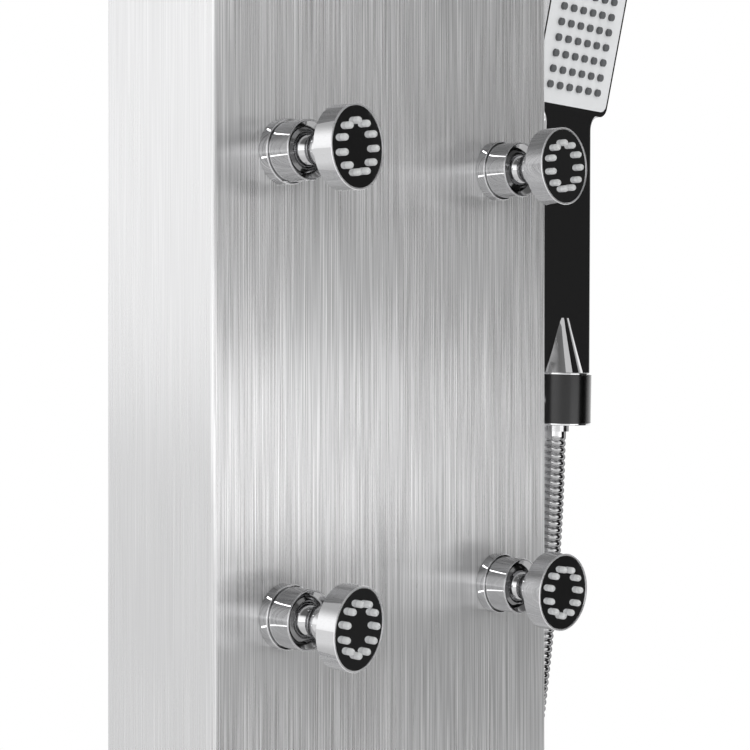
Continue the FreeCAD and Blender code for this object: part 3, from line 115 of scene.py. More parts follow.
class ShowerJet(bpy.types.PropertyGroup):
    """Sizes of a body jet, measured along its axis from the panel or from its ball's centre."""

    flange_radius: length("Flange radius", 0.0142, "Radius of the flange on the panel")
    flange_thickness: length("Flange thickness", 0.005, "Thickness of the flange")
    groove: length("Groove", 0.0005, "Depth of the groove at the flange")
    sleeve_radius: length("Sleeve radius", 0.0131, "Radius of the sleeve")
    sleeve_length: length("Sleeve length", 0.0166, "Reach of the sleeve from the panel")
    mouth_radius: length("Mouth radius", 0.0124, "Radius of the mouth's front edge")
    mouth_depth: length("Mouth depth", 0.0024, "Depth of the mouth's cone")
    socket_radius: length("Socket radius", 0.0099, "Radius of the bore for the seat")
    shank_radius: length("Shank radius", 0.0104, "Radius of the threaded shank")
    shank_length: length("Shank length", 0.022, "Reach of the shank behind the panel's front")
    bore_radius: length("Bore radius", 0.005, "Radius of the water way")
    ball_radius: length("Ball radius", 0.00775, "Radius of the ball and of the round knuckle")
    knuckle_offset: length("Knuckle offset", 0.0102, "From the ball's centre to the knuckle's")
    neck_radius: length("Neck radius", 0.005, "Radius of the neck behind the head")
    head_radius: length("Head radius", 0.0181, "Radius of the head")
    head_thickness: length("Head thickness", 0.0095, "Thickness of the head")
    reach: length("Reach", 0.0284, "From the ball's centre to the head's front")
    rim: length("Rim", 0.0009, "Width of the rim round the face")
    recess: length("Recess", 0.0002, "How far the face lies behind the rim")
    nozzle_ring: length("Nozzle ring", 0.0109, "Radius of the ring of nozzles")
    nozzle_radius: length("Nozzle radius", 0.00155, "Radius of a nozzle")
    nozzle_length: length("Nozzle length", 0.0030, "How far a nozzle stands out")
    nozzle_count: bpy.props.IntProperty(
        name="Nozzles", description="Number of nozzles", default=11, min=3)


class ShowerCup(bpy.types.PropertyGroup):
    """Sizes of the cup on the column's right side."""

    mouth: bpy.props.FloatVectorProperty(
        name="Mouth", description="Middle of the cup's mouth",
        default=(0.15163, -0.044, 0.20069), size=3, unit="LENGTH", precision=5)
    radius: length("Radius", 0.0198, "Outer radius of the cup")
    height: length("Height", 0.0274, "Height of the cup")
    mouth_radius: length("Mouth radius", 0.0159, "Radius of the bore at the mouth")
    exit_radius: length("Exit radius", 0.0106, "Radius of the bore at the lower end")
    rim: length("Rim", 0.0011, "Height of the bright edges")
    panel_side: length("Panel side", 0.110, "From the middle of the panel to its side")
    arm_height: length("Arm height", 0.187, "Height of the arm above the wall holes")
    arm_radius: length("Arm radius", 0.009, "Radius of the arm")
    arm_length: length("Arm length", 0.0262, "Reach of the arm from the panel's side")
    foot_radius: length("Foot radius", 0.016, "Radius of the foot on the panel")
    foot_thickness: length("Foot thickness", 0.006, "Thickness of the foot")


class ShowerHose(bpy.types.PropertyGroup):
    """Sizes of the ribbed hose."""

    diameter: length("Diameter", 0.014, "Outer diameter of the hose")
    pitch: length("Pitch", 0.0035, "Distance from one turn of the profile strip to the next")
    groove: length("Groove", 0.0014, "Depth of the groove between turns")
    true_length: length("Length", 1.518, "Length of the hose along its middle")


class ShowerStudio(bpy.types.PropertyGroup):
    """Camera and lights."""

    lens: bpy.props.FloatProperty(
        name="Lens", description="Focal length in millimetres", default=88.87, min=1)
    eye: bpy.props.FloatVectorProperty(
        name="Eye", description="Place of the camera", default=(-0.6165, -0.6505, 0.2275),
        size=3, unit="LENGTH", precision=5)
    heading: bpy.props.FloatProperty(
        name="Heading", description="Turn of the camera to the right of the wall's normal",
        default=math.radians(46.19), subtype="ANGLE")
    shift: bpy.props.FloatProperty(
        name="Shift", description="Upward shift of the lens", default=-0.0717)
    floor_height: length("Floor height", -1.62, "Height of the floor below the wall holes")


SETTINGS = {
    "shower_finishes": ShowerFinishes,
    "shower_jet": ShowerJet,
    "shower_cup": ShowerCup,
    "shower_hose": ShowerHose,
    "shower_studio": ShowerStudio,
}

# The hose's route in metres, as in the part's source: out of the hand shower's union, down beside
# the column, round under it and up to the outlet.
HOSE_ROUTE = (
    (0.15066, -0.0440, 0.16981),
    (0.14953, -0.0440, 0.13383),
    (0.1499, -0.0378, 0.070),
    (0.1435, -0.0320, -0.005),
    (0.1330, -0.0260, -0.100),
    (0.1260, -0.0205, -0.225),
    (0.1220, -0.0170, -0.390),
    (0.1215, -0.0150, -0.570),
    (0.1228, -0.0135, -0.722),
    (0.1222, -0.0126, -0.832),
    (0.1220, -0.0122, -0.911),
    (0.0914, -0.0124, -0.953),
    (0.0420, -0.0160, -0.9691),
    (-0.0074, -0.0240, -0.953),
    (-0.0368, -0.0325, -0.911),
    (-0.0384, -0.0354, -0.832),
    (-0.0380, -0.0360, -0.740),
    (-0.0380, -0.0360, -0.6762),
)


# ---- shader nodes -------------------------------------------------------------------------------


class Socket:
    """An output of a shader node that works in Python expressions."""

    def __init__(self, nodes, output):
        self.nodes = nodes
        self.output = output

    def __add__(self, other):
        return self.nodes.maths("ADD", self, other)

    def __radd__(self, other):
        return self.nodes.maths("ADD", other, self)

    def __sub__(self, other):
        return self.nodes.maths("SUBTRACT", self, other)

    def __rsub__(self, other):
        return self.nodes.maths("SUBTRACT", other, self)

    def __mul__(self, other):
        return self.nodes.maths("MULTIPLY", self, other)

    def __rmul__(self, other):
        return self.nodes.maths("MULTIPLY", other, self)

    def __neg__(self):
        return self.nodes.maths("MULTIPLY", self, -1)


class Nodes:
    """Adds nodes to a material's or the world's tree."""

    def __init__(self, tree):
        self.tree = tree

    def add(self, kind, settings=None, sockets=None, output=0):
        """One node: its settings first, then its sockets, linked or set. Returns an output."""
        node = self.tree.nodes.new(kind)
        for name, value in (settings or {}).items():
            setattr(node, name, value)
        for name, value in (sockets or {}).items():
            if isinstance(value, Socket):
                self.tree.links.new(value.output, node.inputs[name])
            else:
                node.inputs[name].default_value = value
        return Socket(self, node.outputs[output])

    def maths(self, operation, first, second=0.0):
        """A sum, a product or another operation on numbers that may vary."""
        return self.add("ShaderNodeMath", {"operation": operation}, {0: first, 1: second})

    def scaled(self, tint, factor):
        """A plain colour times a number that varies."""
        return self.add(
            "ShaderNodeVectorMath", {"operation": "SCALE"}, {0: tint, "Scale": factor})

    def place(self, scale=(1, 1, 1)):
        """The point on the surface, in metres times a scale."""
        spot = self.add("ShaderNodeTexCoord", output="Object")
        return self.add("ShaderNodeMapping", None, {"Vector": spot, "Scale": scale})

    def noise(self, scale, size, detail=2.0, roughness=0.5):
        """A cloudy value around 0.5: scale stretches it and size sets how fine it is."""
        return self.add(
            "ShaderNodeTexNoise", None,
            {"Vector": self.place(scale), "Scale": size, "Detail": detail,
             "Roughness": roughness})

    def band(self, value, low, high, to_low=0.0, to_high=1.0):
        """Goes smoothly from to_low at low to to_high at high, and stays there beyond."""
        return self.add(
            "ShaderNodeMapRange", {"interpolation_type": "SMOOTHSTEP"},
            {"Value": value, "From Min": low, "From Max": high, "To Min": to_low,
             "To Max": to_high})

    def bump(self, height, strength, distance):
        return self.add(
            "ShaderNodeBump", None,
            {"Height": height, "Strength": strength, "Distance": distance})


def new_material(name, values, build=None):
    """A Principled material: plain values on its sockets, and build() for what varies."""
    material = bpy.data.materials.new(name)
    material.use_nodes = True
    tree = material.node_tree
    surface = tree.nodes["Principled BSDF"]
    nodes = Nodes(tree)
    varied = build(nodes) if build else {}
    for socket, value in {**values, **varied}.items():
        if isinstance(value, Socket):
            tree.links.new(value.output, surface.inputs[socket])
        else:
            surface.inputs[socket].default_value = value
    return material


def opaque(tint):
    return (*tint, 1.0)


def finishes():
    return bpy.context.scene.shower_finishes


def brushed_steel():
    """Sheet brushed from top to bottom: fine full-height lines that stretch reflections."""
    look = finishes()

    def build(nodes):
        fine = nodes.noise((1, 1, 0.004), 3000, 1.0, 0.8)
        mid = nodes.noise((1, 1, 0.009), 900, 0.0)
        # fine and mid noise: the brush grain; the sparse bright lines on top are a painted glint
        painted_glints = nodes.noise((1, 1, 0.005), 2000, 0.0)
        lines = nodes.band(fine, 0.38, 0.72, -0.6, 1) + nodes.band(mid, 0.3, 0.7, -0.1, 0.12)
        bright = nodes.band(painted_glints, 0.62, 0.72, 0.0, 1.0)
        facing_out = nodes.maths("ABSOLUTE", nodes.add(
            "ShaderNodeSeparateXYZ", None,
            {0: nodes.add("ShaderNodeNewGeometry", output="True Normal")}, output="Y"))
        strength = look.streak * (0.22 + 0.78 * facing_out)
        shade = 0.98 + strength * (0.52 * lines + 0.6 * bright)
        wear = nodes.noise((1, 1, 0.6), 14, 3.0)
        rough = look.steel_roughness + 0.03 * lines + 0.06 * (wear - 0.5)
        return {
            "Base Color": nodes.scaled(look.steel, shade),
            "Roughness": rough,
        }

    return new_material(
        "brushed_steel",
        {"Metallic": look.steel_metal, "Anisotropic": look.steel_grain, "Specular IOR Level": 0.5},
        build)


# Chrome finishes: roughness (None is that of polished chrome), share of chrome's brightness, and
# how bright the surface stays where it is seen edge on.
CHROMES = {
    "jet_chrome": (None, 0.8, 1.0),
    "sleeve_chrome": (0.09, 0.7, 1.0),
    # the fine rings on the edges: chrome painted brighter and rougher than the rest, a painted
    # highlight
    "edge_highlight_chrome": (0.4, 1.2, 1.0),
    "seat_chrome": (0.12, 0.3, 1.0),
    "hose_chrome": (0.09, 0.62, 0.2),
    "nut_chrome": (0.12, 0.55, 0.3),
    "cup_chrome": (None, 1.0, 1.0),
    # the cup's dark skin: chrome painted nearly black, a painted dark reflection of the black it
    # mirrors
    "cup_painted_reflection": (0.22, 0.055, 1.0),
    "fitting_chrome": (0.05, 0.7, 0.6),
    "handset_chrome": (None, 0.88, 0.7),
    "rain_plate": (0.22, 1.0, 1.0),
}


def chrome(name):
    """Plated chrome: a clean mirror with faint waviness and wiping marks."""
    look = finishes()
    roughness, shade, edge = CHROMES[name]
    base = look.chrome_roughness if roughness is None else roughness
    tint = tuple(part * shade for part in look.chrome)

    def build(nodes):
        wave = nodes.noise((1, 1, 1), 160, 2.0)
        marks = nodes.noise((1, 1, 3), 700, 3.0)
        haze = nodes.band(marks, 0.45, 0.75)
        return {
            "Base Color": nodes.scaled(tint, 1 - 0.04 * haze),
            "Roughness": base + 0.03 * haze,
            "Normal": nodes.bump(wave, 0.02, 0.0004),
        }

    return new_material(
        name, {"Metallic": 1.0, "Specular Tint": opaque((edge,) * 3)}, build)


def mirror_face():
    """The jets' polished face plates, with the faintest polishing lines."""
    look = finishes()

    def build(nodes):
        lines = nodes.noise((1, 1, 0.12), 1500, 2.0)
        return {
            "Base Color": nodes.scaled(look.chrome, 0.92 + 0.1 * lines),
            "Roughness": 0.02 + 0.05 * nodes.band(lines, 0.5, 0.8),
        }

    return new_material("mirror_face", {"Metallic": 1.0}, build)


def silicone():
    """Milky silicone that lets some light through."""
    look = finishes()

    def build(nodes):
        cloud = nodes.noise((1, 1, 1), 900, 2.0)
        return {
            "Base Color": nodes.scaled(look.silicone, 0.92 + 0.14 * cloud),
            "Roughness": 0.26 + 0.1 * cloud,
        }

    return new_material(
        "milky_silicone",
        {"Subsurface Weight": 0.5, "Subsurface Radius": (0.003, 0.003, 0.003),
         "Subsurface Scale": 1.0, "Transmission Weight": 0.35, "IOR": 1.41},
        build)


def moulded(name, tint, roughness, grain=2200, coat=0.0):
    """Moulded plastic or rubber with a fine skin."""

    def build(nodes):
        skin = nodes.noise((1, 1, 1), grain, 2.0)
        cloud = nodes.noise((1, 1, 1), 60, 2.0)
        return {
            "Base Color": nodes.scaled(tint, 0.95 + 0.1 * cloud),
            "Roughness": roughness + 0.08 * (cloud - 0.5),
            "Normal": nodes.bump(skin, 0.08, 0.0001),
        }

    return new_material(name, {"Coat Weight": coat, "Coat Roughness": 0.1}, build)


def machined(name, tint, roughness, spread=0.2):
    """Machined or plated metal with cutting marks and cloudy dulling."""

    def build(nodes):
        marks = nodes.noise((1, 1, 8), 420, 2.0)
        cloud = nodes.noise((1, 1, 1), 45, 4.0)
        dull = nodes.band(cloud, 0.35, 0.7)
        return {
            "Base Color": nodes.scaled(tint, 1 - spread * dull),
            "Roughness": roughness + 0.18 * dull + 0.06 * (marks - 0.5),
            "Normal": nodes.bump(marks, 0.1, 0.0002),
        }

    return new_material(name, {"Metallic": 1.0}, build)


def paint(material, *names):
    """Gives CAD nodes a material."""
    for name in names:
        mesh = frame["nodes"][name].data
        mesh.materials.clear()
        mesh.materials.append(material)


# ---- meshes -------------------------------------------------------------------------------------


def new_piece(name, mesh, material, body, slot, *replaced):
    """A visible piece with its material, the body it rides on and the nodes it replaces."""
    mesh.materials.append(material)
    piece = bpy.data.objects.new(name, mesh)
    bpy.context.scene.collection.objects.link(piece)
    even = piece.modifiers.new("even_shading", "WEIGHTED_NORMAL")
    even.keep_sharp = True
    even.weight = 100
    if replaced:
        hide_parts(*replaced)
    if body:
        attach(piece, body)
    return piece


def arc(centre, radius, start, end, steps=12):
    """Points on an arc in the (radius, height) plane, angles in degrees from the radius axis."""
    x, y = centre
    return [
        (x + radius * math.cos(math.radians(start + (end - start) * step / steps)),
         y + radius * math.sin(math.radians(start + (end - start) * step / steps)))
        for step in range(steps + 1)]


def eased(points, radius, steps=3):
    """A profile with each corner rounded by at most radius."""
    result = [points[0]]
    for before, corner, after in zip(points, points[1:], points[2:]):
        corner, before, after = Vector(corner), Vector(before), Vector(after)
        into, out = corner - before, after - corner
        if into.length < 1e-9 or out.length < 1e-9 or into.angle(out) < math.radians(12):
            result.append(tuple(corner))
            continue
        cut = min(radius, 0.45 * into.length, 0.45 * out.length)
        first, last = corner - into.normalized() * cut, corner + out.normalized() * cut
        for step in range(steps + 1):
            t = step / steps
            result.append(tuple(first.lerp(corner, t).lerp(corner.lerp(last, t), t)))
    result.append(points[-1])
    return result


# edges that bend more than this stay sharp
SHARP = math.radians(28)


def mark_sharp(mesh_data):
    """Shades every face smooth and keeps the corners that are really sharp."""
    mesh = bmesh.new()
    mesh.from_mesh(mesh_data)
    bmesh.ops.remove_doubles(mesh, verts=mesh.verts, dist=1e-7)
    bmesh.ops.recalc_face_normals(mesh, faces=mesh.faces)
    for face in mesh.faces:
        face.smooth = True
    for edge in mesh.edges:
        edge.smooth = not (len(edge.link_faces) == 2 and edge.calc_face_angle() > SHARP)
    mesh.to_mesh(mesh_data)
    mesh.free()
    return mesh_data


def lathe(name, profile, place, sides=96, closed=True):
    """Spins a profile of (radius, height) points about Z and puts it in place."""
    data = bpy.data.meshes.new(name)
    points, faces, rings = [], [], []
    for radius, height in profile:
        if radius < 1e-7:
            rings.append([len(points)] * sides)
            points.append((0, 0, height))
            continue
        rings.append(list(range(len(points), len(points) + sides)))
        points += [(radius * math.cos(math.tau * side / sides),
                    radius * math.sin(math.tau * side / sides), height)
                   for side in range(sides)]
    pairs = list(zip(rings, rings[1:]))
    if closed:
        pairs.append((rings[-1], rings[0]))
    for lower, upper in pairs:
        for side in range(sides):
            after = (side + 1) % sides
            corners = (lower[side], lower[after], upper[after], upper[side])
            unique = list(dict.fromkeys(corners))
            if len(unique) > 2:
                faces.append(unique)
    data.from_pydata(points, [], faces)
    data.transform(place)
    return mark_sharp(data)


def facing(direction, origin):
    """A placement whose Z axis points along direction, from origin."""
    turn = Vector(direction).to_track_quat("Z", "Y").to_matrix().to_4x4()
    return Matrix.Translation(Vector(origin)) @ turn


# ---- body jets ----------------------------------------------------------------------------------


def jet_pose(name):
    """The jet's ball centre, and the way its head points at rest."""
    tilt = joints[f"jet_{name}_tilt"]
    lean = JET_SWING - tilt["range_deg"][1]
    direction = Matrix.Rotation(math.radians(lean), 3, Vector(tilt["axis"])) @ -TOWARDS_WALL
    return Vector(tilt["pos_m"]), direction


# the shank's thread: its ridges, their distance and depth, and the widths of crest and flank
THREAD_TURNS = 8
THREAD_PITCH = 1.8 * MM
THREAD_DEPTH = 0.8 * MM
CREST_WIDTH = 0.3 * MM
FLANK_WIDTH = 0.6 * MM
# bevels and roundings of the turned pieces
SHANK_BEVEL = 0.5 * MM
SLEEVE_EASE = 0.35 * MM
HEAD_EASE = 0.42 * MM
# the pocket in the head for the face plate; the plate's play in it, its bevel and its thickness
POCKET_DEPTH = 2.0 * MM
FACE_PLAY = 0.03 * MM
FACE_BEVEL = 0.1 * MM
FACE_THICKNESS = 1.5 * MM
# a nozzle: its foot behind the head's front, its mouth's radius, the depths of the mouth's edge and
# bottom, and how far its dome goes round
NOZZLE_FOOT = 1.2 * MM
MOUTH_RADIUS = 0.45 * MM
MOUTH_DEPTHS = (0.5 * MM, 0.6 * MM)
DOME_DEGREES = 74
# these rings carry painted highlights: chrome painted brighter and rougher, laid over the turned
# edges
# the fine bright rings: how proud they stand, their bevel and foot, and the widths of two of them
RING_PROUD = 0.02 * MM
RING_BEVEL = 0.22 * MM
RING_FOOT = 0.1 * MM
SLEEVE_RING = 0.65 * MM
FLANGE_RING = 0.5 * MM
# sides of the turned meshes
RIM_SIDES = 160
HEAD_SIDES = 128
BALL_SIDES = 72
NOZZLE_SIDES = 24


def sleeve_profile(jet):
    """Flange, groove, sleeve and the cone of the mouth, in heights from the panel."""
    top, end = jet.sleeve_length, -jet.shank_length
    shank, flange = jet.shank_radius, jet.flange_thickness
    thread = [(shank, end + SHANK_BEVEL)]
    for turn in range(THREAD_TURNS):
        start = end + SHANK_BEVEL + THREAD_PITCH * turn + CREST_WIDTH
        thread += [(shank, start), (shank - THREAD_DEPTH, start + FLANK_WIDTH),
                   (shank, start + 2 * FLANK_WIDTH)]
    groove = jet.sleeve_radius - jet.groove
    outside = [(jet.bore_radius, end), (shank - SHANK_BEVEL, end)] + thread + eased([
        (shank, 0), (jet.flange_radius, 0), (jet.flange_radius, flange), (groove, flange),
        (groove, flange + jet.groove), (jet.sleeve_radius, flange + jet.groove),
        (jet.sleeve_radius, top), (jet.mouth_radius, top)], SLEEVE_EASE)
    socket = jet.socket_radius + 0.2 * MM
    inside = [
        (jet.mouth_radius - 0.4 * MM, top - 0.5 * MM),
        (socket + 0.3 * MM, top - jet.mouth_depth + 0.4 * MM),
        (socket, top - jet.mouth_depth), (socket, flange), (jet.bore_radius, flange)]
    return outside + inside


def ball_profile(jet):
    """Ball, waist, knuckle and neck, from the ball's back to the head."""
    waist = jet.knuckle_offset / 2
    pinch = math.degrees(math.asin(waist / jet.ball_radius))
    end = math.degrees(math.acos(jet.neck_radius / jet.ball_radius))
    profile = arc((0, 0), jet.ball_radius, -60, pinch - 4, 20)
    profile += arc((0, jet.knuckle_offset), jet.ball_radius, 4 - pinch, end, 20)
    rear = jet.reach - jet.head_thickness
    profile += [(jet.neck_radius, rear - 0.6 * MM), (jet.neck_radius + 0.6 * MM, rear)]
    return profile


def head_profile(jet):
    """The round head, open at the front for its face plate."""
    rear = jet.reach - jet.head_thickness
    pocket, floor_height = jet.head_radius - jet.rim, jet.reach - POCKET_DEPTH
    outside = eased([
        (jet.neck_radius, rear), (jet.head_radius, rear), (jet.head_radius, jet.reach),
        (pocket, jet.reach), (pocket, floor_height)], HEAD_EASE)
    return outside + [(jet.neck_radius, floor_height)]


def face_profile(jet):
    """The round face plate in the head's front."""
    front = jet.reach - jet.recess
    edge = jet.head_radius - jet.rim - FACE_PLAY
    return [(0, front), (edge - FACE_BEVEL, front), (edge, front - FACE_BEVEL),
            (edge, front - FACE_THICKNESS), (0, front - FACE_THICKNESS)]


def nozzle_profile(jet):
    """One nozzle: a rounded pin with its small mouth."""
    radius = jet.nozzle_radius
    tip = jet.reach + jet.nozzle_length - jet.recess
    base = jet.reach - NOZZLE_FOOT
    dome = arc((0, tip - radius), radius, 0, DOME_DEGREES, 8)
    edge, bottom = (tip - depth for depth in MOUTH_DEPTHS)
    return ([(0, base), (radius, base), (radius, jet.reach)] + dome
            + [(MOUTH_RADIUS, edge), (0, bottom)])


def edge_ring(radius, width, height):
    """A fine ring over a turned front edge, in the height of that edge, that carries a painted
    highlight.
    """
    inner, outer = radius - width, radius - RING_BEVEL
    return [(inner, height - RING_FOOT), (inner, height + RING_PROUD),
            (outer, height + RING_PROUD), (radius + RING_PROUD, height - RING_BEVEL),
            (outer, height - RING_BEVEL - RING_FOOT)]


def joined(name, parts):
    """One mesh out of several."""
    mesh = bmesh.new()
    for part in parts:
        mesh.from_mesh(part)
    data = bpy.data.meshes.new(name)
    mesh.to_mesh(data)
    mesh.free()
    for part in parts:
        bpy.data.meshes.remove(part)
    return data


class SHOWER_OT_jets(bpy.types.Operator):
    """Turns the four body jets"""

    bl_idname = "shower.jets"
    bl_label = "Body jets"

    def execute(self, context):
        jet = context.scene.shower_jet
        plated, mirror, milky = chrome("jet_chrome"), mirror_face(), silicone()
        seat = chrome("seat_chrome")
        # bright: the painted highlight on the fine rings over the edges
        bright, turned = chrome("edge_highlight_chrome"), chrome("sleeve_chrome")
        for name in JET_NAMES:
            pivot, direction = jet_pose(name)
            panel = pivot + TOWARDS_WALL * BALL_STAND_OFF
            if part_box(f"jet_body_{name}")[1][1] <= panel.y:
                raise ValueError(f"the shank of jet_body_{name} doesn't pass the panel")
            base = facing(-TOWARDS_WALL, panel)
            head = facing(direction, pivot)
            rings = [lathe("ring", edge_ring(radius, width, height), base, HEAD_SIDES)
                     for radius, width, height in (
                         (jet.sleeve_radius, SLEEVE_RING, jet.sleeve_length),
                         (jet.flange_radius, FLANGE_RING, jet.flange_thickness))]
            new_piece(f"sleeve_edge_highlights_{name}", joined("edges", rings), bright, "column", "chrome")
            rim = lathe("ring", edge_ring(jet.head_radius, jet.rim, jet.reach), head, RIM_SIDES)
            new_piece(f"head_edge_highlight_{name}", rim, bright, f"jet_{name}", "chrome")
            new_piece(f"sleeve_{name}", lathe("sleeve", sleeve_profile(jet), base), turned,
                      "column", "chrome", f"jet_body_{name}")
            ball = lathe("ball", ball_profile(jet), head, BALL_SIDES, closed=False)
            shell = lathe("shell", head_profile(jet), head, HEAD_SIDES)
            new_piece(f"head_{name}", joined("head", [ball, shell]), plated,
                      f"jet_{name}", "chrome", f"jet_head_{name}")
            new_piece(f"face_{name}", lathe("face", face_profile(jet), head, HEAD_SIDES), mirror,
                      f"jet_{name}", "chrome", f"jet_face_{name}")
            pins = []
            for number in range(jet.nozzle_count):
                angle = math.tau * number / jet.nozzle_count
                spot = Matrix.Translation((jet.nozzle_ring * math.cos(angle),
                                           jet.nozzle_ring * math.sin(angle), 0))
                pins.append(lathe("pin", nozzle_profile(jet), head @ spot, NOZZLE_SIDES))
            new_piece(f"nozzles_{name}", joined("nozzles", pins), milky,
                      f"jet_{name}", "silicone", f"jet_nozzles_{name}")
            paint(seat, f"jet_seat_{name}")
        return {"FINISHED"}


# ---- hose ---------------------------------------------------------------------------------------


def route_line():
    """Points read from the route's smooth NURBS spline."""
    curve = bpy.data.curves.new("route", "CURVE")
    curve.dimensions = "3D"
    curve.resolution_u = 48
    spline = curve.splines.new("NURBS")
    spline.points.add(len(HOSE_ROUTE) - 1)
    for point, spot in zip(spline.points, HOSE_ROUTE):
        point.co = (*spot, 1)
    spline.order_u = 3
    spline.use_endpoint_u = True
    holder = bpy.data.objects.new("route", curve)
    bpy.context.scene.collection.objects.link(holder)
    bpy.context.view_layer.update()
    line = bpy.data.meshes.new_from_object(holder)
    spots = [vertex.co.copy() for vertex in line.vertices]
    bpy.data.objects.remove(holder)
    bpy.data.curves.remove(curve)
    bpy.data.meshes.remove(line)
    return spots


# the hose's mesh: points round it and along each turn, and its plain ends in diameters
HOSE_SIDES = 24
STATIONS_PER_TURN = 12
PLAIN_END = 0.15


def evenly(spots, step):
    """The line's points at equal distances, with the line's direction at each."""
    total = sum((b - a).length for a, b in zip(spots, spots[1:]))
    count = round(total / step)
    step = total / count
    result, travelled, want = [], 0.0, 0.0
    for before, after in zip(spots, spots[1:]):
        run = (after - before).length
        while run > 0 and want <= travelled + run + 1e-9 and len(result) <= count:
            point = before.lerp(after, min(1.0, (want - travelled) / run))
            result.append((point, (after - before).normalized()))
            want += step
        travelled += run
    return result, total


class SHOWER_OT_hose(bpy.types.Operator):
    """Winds the ribbed metal hose along its route"""

    bl_idname = "shower.hose"
    bl_label = "Hose"

    def execute(self, context):
        hose = context.scene.shower_hose
        sides = HOSE_SIDES
        stations, total = evenly(route_line(), hose.pitch / STATIONS_PER_TURN)
        radius = hose.diameter / 2
        plain = hose.diameter * PLAIN_END
        points, faces = [], []
        for number, (spot, along) in enumerate(stations):
            across = TOWARDS_WALL.cross(along).normalized()
            up = along.cross(across)
            travelled = number * total / (len(stations) - 1)
            end = min(travelled, total - travelled)
            depth = hose.groove * min(1.0, max(0.0, (end - plain) / hose.pitch))
            for side in range(sides):
                angle = math.tau * side / sides
                share_of_turn = (travelled / hose.pitch + side / sides) % 1
                ridge = math.sqrt(max(0.0, 1 - (2 * share_of_turn - 1) ** 2))
                size = radius - depth * (1 - ridge)
                points.append(spot + across * size * math.cos(angle)
                              + up * size * math.sin(angle))
        for ring in range(len(stations) - 1):
            for side in range(sides):
                after = (side + 1) % sides
                faces.append((ring * sides + side, ring * sides + after,
                              (ring + 1) * sides + after, (ring + 1) * sides + side))
        last = (len(stations) - 1) * sides
        faces.append(tuple(range(sides))[::-1])
        faces.append(tuple(range(last, last + sides)))
        data = bpy.data.meshes.new("hose_winding")
        data.from_pydata(points, [], faces)
        for face in data.polygons:
            face.use_smooth = len(face.vertices) == 4
        piece = new_piece("hose_winding", data, chrome("hose_chrome"), None, "chrome", "hose")
        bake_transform(piece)
        return {"FINISHED"}


# ---- cup ----------------------------------------------------------------------------------------


# roundings of the cup and of its arm
CUP_EASE = 0.5 * MM
ARM_EASE = 0.6 * MM
# the dark skin is a painted dark reflection: it stands in for the black that the chrome wall
# mirrors
# how deep the painted dark skin's groove is, how far the skin lies inside the rims, and its
# thickness
SKIN_DEPTH = 0.6 * MM
SKIN_INSET = 0.05 * MM
SKIN_THICKNESS = 0.5 * MM


def cup_rims(cup):
    """The chrome of the cup: mouth, bore and lower edge, in heights from the mouth."""
    band = cup.rim
    skin = cup.radius - SKIN_DEPTH
    return eased([
        (cup.exit_radius, -cup.height), (cup.mouth_radius, 0), (cup.radius, 0),
        (cup.radius, -band), (skin, -band), (skin, band - cup.height),
        (cup.radius, band - cup.height), (cup.radius, -cup.height),
        (cup.exit_radius + 0.2 * MM, -cup.height)], CUP_EASE)


class SHOWER_OT_cup(bpy.types.Operator):
    """Turns the cup that holds the hand shower"""

    bl_idname = "shower.cup"
    bl_label = "Cup"

    def execute(self, context):
        cup = context.scene.shower_cup
        lean = UP.rotation_difference(Vector(joints["handset_lift"]["axis"]))
        mouth = Matrix.Translation(cup.mouth) @ lean.to_matrix().to_4x4()
        wall = Matrix.Translation((cup.panel_side, cup.mouth[1], cup.arm_height))
        wall = wall @ Matrix.Rotation(math.radians(90), 4, "Y")
        arm = lathe("arm", eased([
            (cup.foot_radius, 0), (cup.foot_radius, cup.foot_thickness),
            (cup.arm_radius + MM, cup.foot_thickness), (cup.arm_radius, cup.foot_thickness + MM),
            (cup.arm_radius, cup.arm_length)], ARM_EASE), wall, closed=False)
        rims = lathe("rims", cup_rims(cup), mouth, RIM_SIDES)
        new_piece("cup", joined("cup", [rims, arm]), chrome("cup_chrome"), "column", "chrome",
                  "handset_holder")
        # the wall between the rims gets a thin dark skin, the painted dark reflection
        side = cup.radius - SKIN_INSET
        inset = side - SKIN_THICKNESS
        skin = lathe("cup_painted_reflection_skin", [
            (inset, -cup.rim), (side, -cup.rim), (side, cup.rim - cup.height),
            (inset, cup.rim - cup.height)], mouth, RIM_SIDES, closed=False)
        new_piece("cup_painted_reflection_skin", skin, chrome("cup_painted_reflection"), "column", "chrome")
        return {"FINISHED"}


# ---- plain painting of the other nodes ----------------------------------------------------------


class SHOWER_OT_sheet_metal(bpy.types.Operator):
    """Brushes the channel and its caps, and plates the brackets"""

    bl_idname = "shower.sheet_metal"
    bl_label = "Sheet metal"

    def execute(self, context):
        look = finishes()
        paint(brushed_steel(), "panel_shell", "top_cap", "bottom_cap")
        paint(machined("zinc_plate", look.zinc, 0.32), "wall_bracket_upper",
              "wall_bracket_lower", "hanger_rail_upper", "hanger_rail_lower", "panel_screws")
        paint(moulded("washer_rubber", (0.03, 0.03, 0.032), 0.6), "jet_washers")
        return {"FINISHED"}


class SHOWER_OT_pipework(bpy.types.Operator):
    """Finishes the brass valves, pipes and nuts inside the channel"""

    bl_idname = "shower.pipework"
    bl_label = "Pipework"

    def execute(self, context):
        look = finishes()
        paint(machined("brass", look.brass, 0.24), "mixer_body", "diverter_body", "link_pipe",
              "jet_manifold", "rain_pipe", "hose_pipe", "inlet_hot", "inlet_cold",
              "jet_backnuts", "rain_arm_backnut", "diverter_stem")
        paint(moulded("cartridge_nylon", (0.80, 0.80, 0.77), 0.42), "mixer_cartridge",
              "diverter_cartridge")
        return {"FINISHED"}


